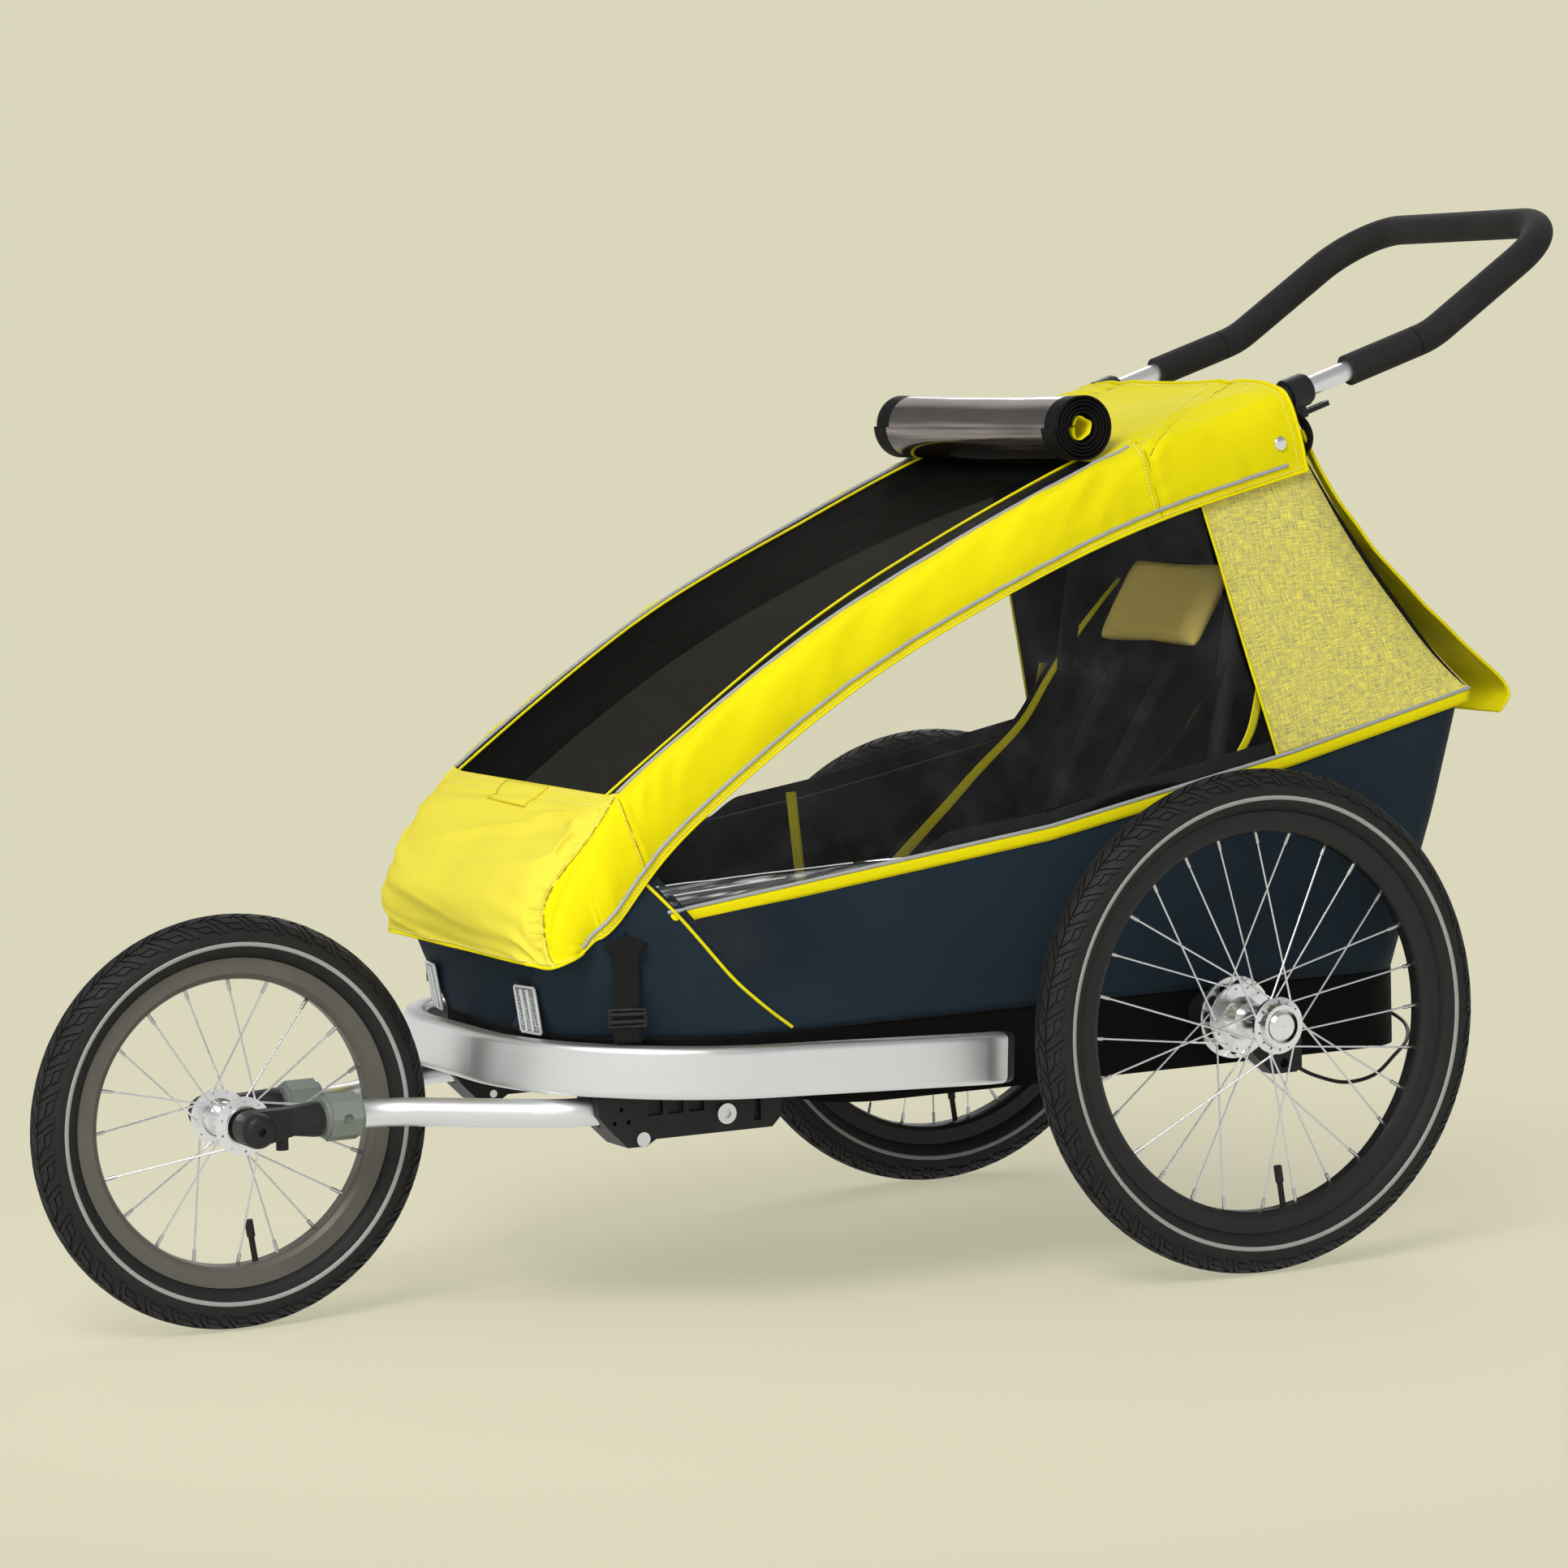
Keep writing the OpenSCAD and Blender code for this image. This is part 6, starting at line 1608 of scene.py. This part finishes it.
class TRAILER_OT_seat(bpy.types.Operator):
    """Build the seat, the backrest, the headrest and the harness"""
    bl_idname = "trailer.seat"
    bl_label = "Seat and harness"

    def execute(self, context):
        seat = self.pad("seat_cushion", "seat", (200, 0, 282), tilt=-3, size=(270, 300, 40), channels=3)
        folding(seat, "seat_fabric", "seat_pad")
        x, y = crossed((-84, 336, 40), (-103, 103, 20))
        sling = points_of(x, y, 262.6 + 0.6 * ripple(*crossed((0, 9, 40), (0, 5, 20)), 71))
        laid_cloth("seat_sling", sling, "black", CHASSIS, "seat_fabric", "stretched", ["base_frame"],
                   wall=1.6)
        back_x, back_z = -256, 422
        slope, along = math.degrees(math.atan2(back_x, back_z)) + 90, math.hypot(back_x, back_z)
        back = self.pad("backrest_cushion", "seat", (-62, 0, 511), slope, size=(along, 290, 28), channels=4)
        folding(back, "seat_fabric", "backrest_pad")
        head = self.pad("headrest_cushion", "tan", (-108, 0, 646), tilt=59, size=(96, 190, 25), draw=0.1)
        folding(head, "tan_fabric", "headrest_pad")
        self.wings()
        self.harness()
        return {"FINISHED"}

    def pad(self, name, material, centre, tilt, size, channels=0, draw=0.45):
        """Cushion blown up from a slack bag, then drawn in along its sewn channels and laid on its slope."""
        half = np.array(size) / 2
        piece = self.bag(name, half * [0.985, 0.985, 0.86])
        self.blow(piece, draw)
        most = half * [1.01, 1.01, 1.0]
        p = np.clip(coordinates(piece.data).reshape(-1, 3) * 1000, -most, most)
        u, v = p[:, 0] / half[0], p[:, 1] / half[1]
        if channels:
            seam = (1 - np.abs(np.sin(np.pi / 2 * channels * (u + 1)))) ** 4
            seam = seam * (np.abs(u) < 0.9) * soft_step(-np.abs(v), -0.97, -0.8)
            p[:, 2] = np.where(p[:, 2] > 0, p[:, 2] * (1 - 0.32 * seam), p[:, 2])
        p[:, 2] += 0.6 * ripple(u * 7 + 9, v * 6 + 9, 81) * (p[:, 2] > 0.4 * half[2])
        turn = math.radians(tilt)
        cos, sin = math.cos(turn), math.sin(turn)
        placed = np.stack([centre[0] + p[:, 0] * cos + p[:, 2] * sin, centre[1] + p[:, 1],
                           centre[2] - p[:, 0] * sin + p[:, 2] * cos], -1)
        mesh = piece.data
        corners = np.empty(len(mesh.loops), int)
        mesh.loops.foreach_get("vertex_index", corners)
        cut = (p[corners, :2] / 1000).astype(np.float32)
        mesh.uv_layers.new(name="cut").data.foreach_set("uv", cut.ravel())
        mesh.vertices.foreach_set("co", metres(placed).ravel())
        smooth(mesh)
        mesh.materials.append(finish(material))
        round_off = piece.modifiers.new("smooth", "SUBSURF")
        round_off.levels = round_off.render_levels = 1
        return piece

    def bag(self, name, half):
        """Closed bag with drawn-in sides, in even cells, about the origin."""
        rows = 48
        u, v = crossed((-1, 1, rows), (-1, 1, rows))
        crown = (np.maximum(0, 1 - u ** 6) * np.maximum(0, 1 - v ** 6)) ** 0.5
        x, y = u * (1 - 0.03 * (1 - v ** 2)), v * (1 - 0.03 * (1 - u ** 2))
        faced = [points_of(x, y, face * (0.2 + 0.8 * crown)).reshape(-1, 3) for face in (1, -1)]
        points = [p * half / 1000 for p in faced]
        n = rows * rows
        faces = []
        for i in range(rows - 1):
            for j in range(rows - 1):
                ring = [i * rows + j, (i + 1) * rows + j, (i + 1) * rows + j + 1, i * rows + j + 1]
                faces += [ring, [n + k for k in ring[::-1]]]
        last = (rows - 1) * rows
        for k in range(rows - 1):
            rim = ((k, k + 1), (last + k + 1, last + k), ((k + 1) * rows, k * rows),
                   (k * rows + rows - 1, (k + 1) * rows + rows - 1))
            faces += [[a, b, n + b, n + a] for a, b in rim]
        mesh = new_mesh(name, np.vstack(points), faces)
        face_out(mesh)
        piece = linked(name, mesh)
        even = piece.modifiers.new("even", "REMESH")
        even.mode, even.voxel_size = "VOXEL", 0.005
        return self.settled(piece)

    def settled(self, piece):
        """The piece with what its modifiers make as its own mesh."""
        old, made = piece.data, made_mesh(piece)
        piece.modifiers.clear()
        piece.data, name = made, old.name
        bpy.data.meshes.remove(old)
        made.name = name
        return piece

    def blow(self, piece, draw, cap=0.008, frames=20):
        """Air in the bag for a few frames: its edges draw in by a share, and no point moves past the cap."""
        start = coordinates(piece.data)
        cloth = piece.modifiers.new("air", "CLOTH")
        cloth.settings.use_pressure = True
        cloth.settings.uniform_pressure_force = 4
        cloth.settings.effector_weights.gravity = 0
        cloth.point_cache.frame_start, cloth.point_cache.frame_end = 1, frames
        scene = bpy.context.scene
        for k in range(1, frames + 1):
            scene.frame_set(k)
        self.settled(piece)
        scene.frame_set(1)
        move = (coordinates(piece.data) - start).reshape(-1, 3) * [draw, draw, 1]
        far = np.linalg.norm(move, axis=1, keepdims=True)
        if not np.isfinite(far).all():
            raise RuntimeError(f"{piece.name}: the cloth came apart")
        move *= np.minimum(1, cap / np.maximum(far, 1e-9))
        piece.data.vertices.foreach_set("co", start + move.ravel())

    def wings(self):
        """Side wings of the seat, with a yellow ribbon inside their front edge and sewn lines outside."""
        line = run([[150, 374], [129, 393], [83, 433], [43, 469], [-14, 516], [-50, 562], [-87, 608],
                    [-120, 642], [-146, 668]], 60)
        f = np.linspace(0, 1, 10)[None, :, None]
        p = line[:, None] + f * np.array([-34, -32])
        y = 166 - 24 * f[..., 0] + 1.5 * ripple(np.linspace(0, 9, 60)[:, None], f[..., 0] * 3, 82)
        wide = np.linspace(4, 12, 60)[::-1, None]
        inward = 3.5 + np.linspace(0, 1, 4)[None, :, None] * wide[..., None]
        for side, label in SIDES:
            grid = np.stack([p[..., 0], side * y, p[..., 1]], -1)
            laid_cloth(f"{label}_wing", grid, "seat", CHASSIS, "seat_fabric", "stretched",
                       ["backrest_cushion"], wall=3.0, flip=side < 0)
            inner = grid[:, :1] + inward * np.array([-0.7, -0.35 * side, -0.65])
            laid_cloth(f"{label}_wing_ribbon", inner - [0, 3.6 * side, 0], "ribbon", CHASSIS, "webbing",
                       "stretched", [f"{label}_wing"], wall=0.8, flip=side > 0)
            sewn = [grid[:, k] + [0, 0.5 * side, 0] for k in (1, 4)]
            folding(stitches(f"{label}_wing_stitches", sewn, 4.0, "thread", 0.4))

    def harness(self):
        """Shoulder straps down to a buckle on the seat."""
        path = run([[-82, 590], [-29, 504], [32, 405], [72, 350], [116, 325], [160, 316]], 50)
        y = np.linspace(52, 18, 50)[:, None] + np.linspace(-13, 13, 7)[None, :]
        for side, label in SIDES:
            grid = points_of(path[:, :1], side * y, path[:, 1:])
            laid_cloth(f"{label}_harness", grid, "web", CHASSIS, "webbing", "stretched", ["backrest_cushion"],
                       *(["harness"] if side > 0 else []), wall=1.4, flip=side < 0)
        ring = [[150, -26, 321], [178, -26, 318], [178, 26, 318], [150, 26, 321], [150, -26, 321]]
        folding(piping("harness_buckle", [ring, [[164, -26, 320], [164, 26, 320]]], 5.0, "plastic", 10))


class TRAILER_OT_grip(bpy.types.Operator):
    """Build the foam of the push bar"""
    bl_idname = "trailer.grip"
    bl_label = "Foam grip"

    def execute(self, context):
        leg, loop = math.radians(18), math.radians(34)
        leg_bend, corner, leg_length, loop_length = 110, 72, 156, 117
        leg_way, loop_way = (np.array([-math.cos(a), 0, math.sin(a)]) for a in (leg, loop))
        end = np.array([-157, 184, 865.0])
        top = end + leg_length * leg_way
        bend = [top + leg_bend * np.array([math.sin(leg) - math.sin(a), 0, math.cos(leg) - math.cos(a)])
                for a in np.linspace(leg, loop, 10)]
        foot = bend[-1] + loop_length * loop_way
        turn = [foot + corner * (np.array([0, -1, 0]) * (1 - math.cos(a)) + loop_way * math.sin(a))
                for a in np.linspace(0, math.pi / 2, 20)]
        straight = [bend[-1] + k * loop_way for k in (30, 60, 90)]
        side = np.array([end + 149.2 * leg_way, *bend, *straight, *turn])
        bar = [turn[-1] - [0, k, 0] for k in (30, 60, 90, 112, 134, 164, 194)]
        whole = np.vstack([side, bar, side[::-1] * [1, -1, 1]])
        sleeves = [[(end + k * leg_way) * [1, s, 1] for k in np.linspace(62.6, 147.6, 12)] for s in (1, -1)]
        grip = piping("push_bar_foam", [whole, *sleeves], 16.0, "foam", 28)
        fixed(grip, "handle", "black_foam", "foam_grip")
        return {"FINISHED"}


STEPS = (TRAILER_OT_finishes, TRAILER_OT_stage, TRAILER_OT_cables, TRAILER_OT_metalwork, TRAILER_OT_tyres,
         TRAILER_OT_cover, TRAILER_OT_mesh_front, TRAILER_OT_rain_roll, TRAILER_OT_tub, TRAILER_OT_windows,
         TRAILER_OT_rear_cloth, TRAILER_OT_seat, TRAILER_OT_grip)


class TRAILER_PT_looks(bpy.types.Panel):
    """Settings and steps of the trailer's looks"""
    bl_idname = "TRAILER_PT_looks"
    bl_label = "Trailer looks"
    bl_space_type = "VIEW_3D"
    bl_region_type = "UI"
    bl_category = "Trailer"

    def draw(self, context):
        for name in TrailerLooks.__annotations__:
            self.layout.prop(context.scene.trailer_looks, name)
        for step in STEPS:
            self.layout.operator(step.bl_idname)


CLASSES = (TrailerLooks, *STEPS, TRAILER_PT_looks)


def register():
    for kind in CLASSES:
        bpy.utils.register_class(kind)
    bpy.types.Scene.trailer_looks = PointerProperty(type=TrailerLooks)


def unregister():
    del bpy.types.Scene.trailer_looks
    for kind in reversed(CLASSES):
        bpy.utils.unregister_class(kind)


def main():
    """Builds everything in order."""
    register()
    for step in STEPS:
        group, name = step.bl_idname.split(".")
        getattr(getattr(bpy.ops, group), name)()
    bpy.context.view_layer.update()


if __name__ == "__main__":
    main()
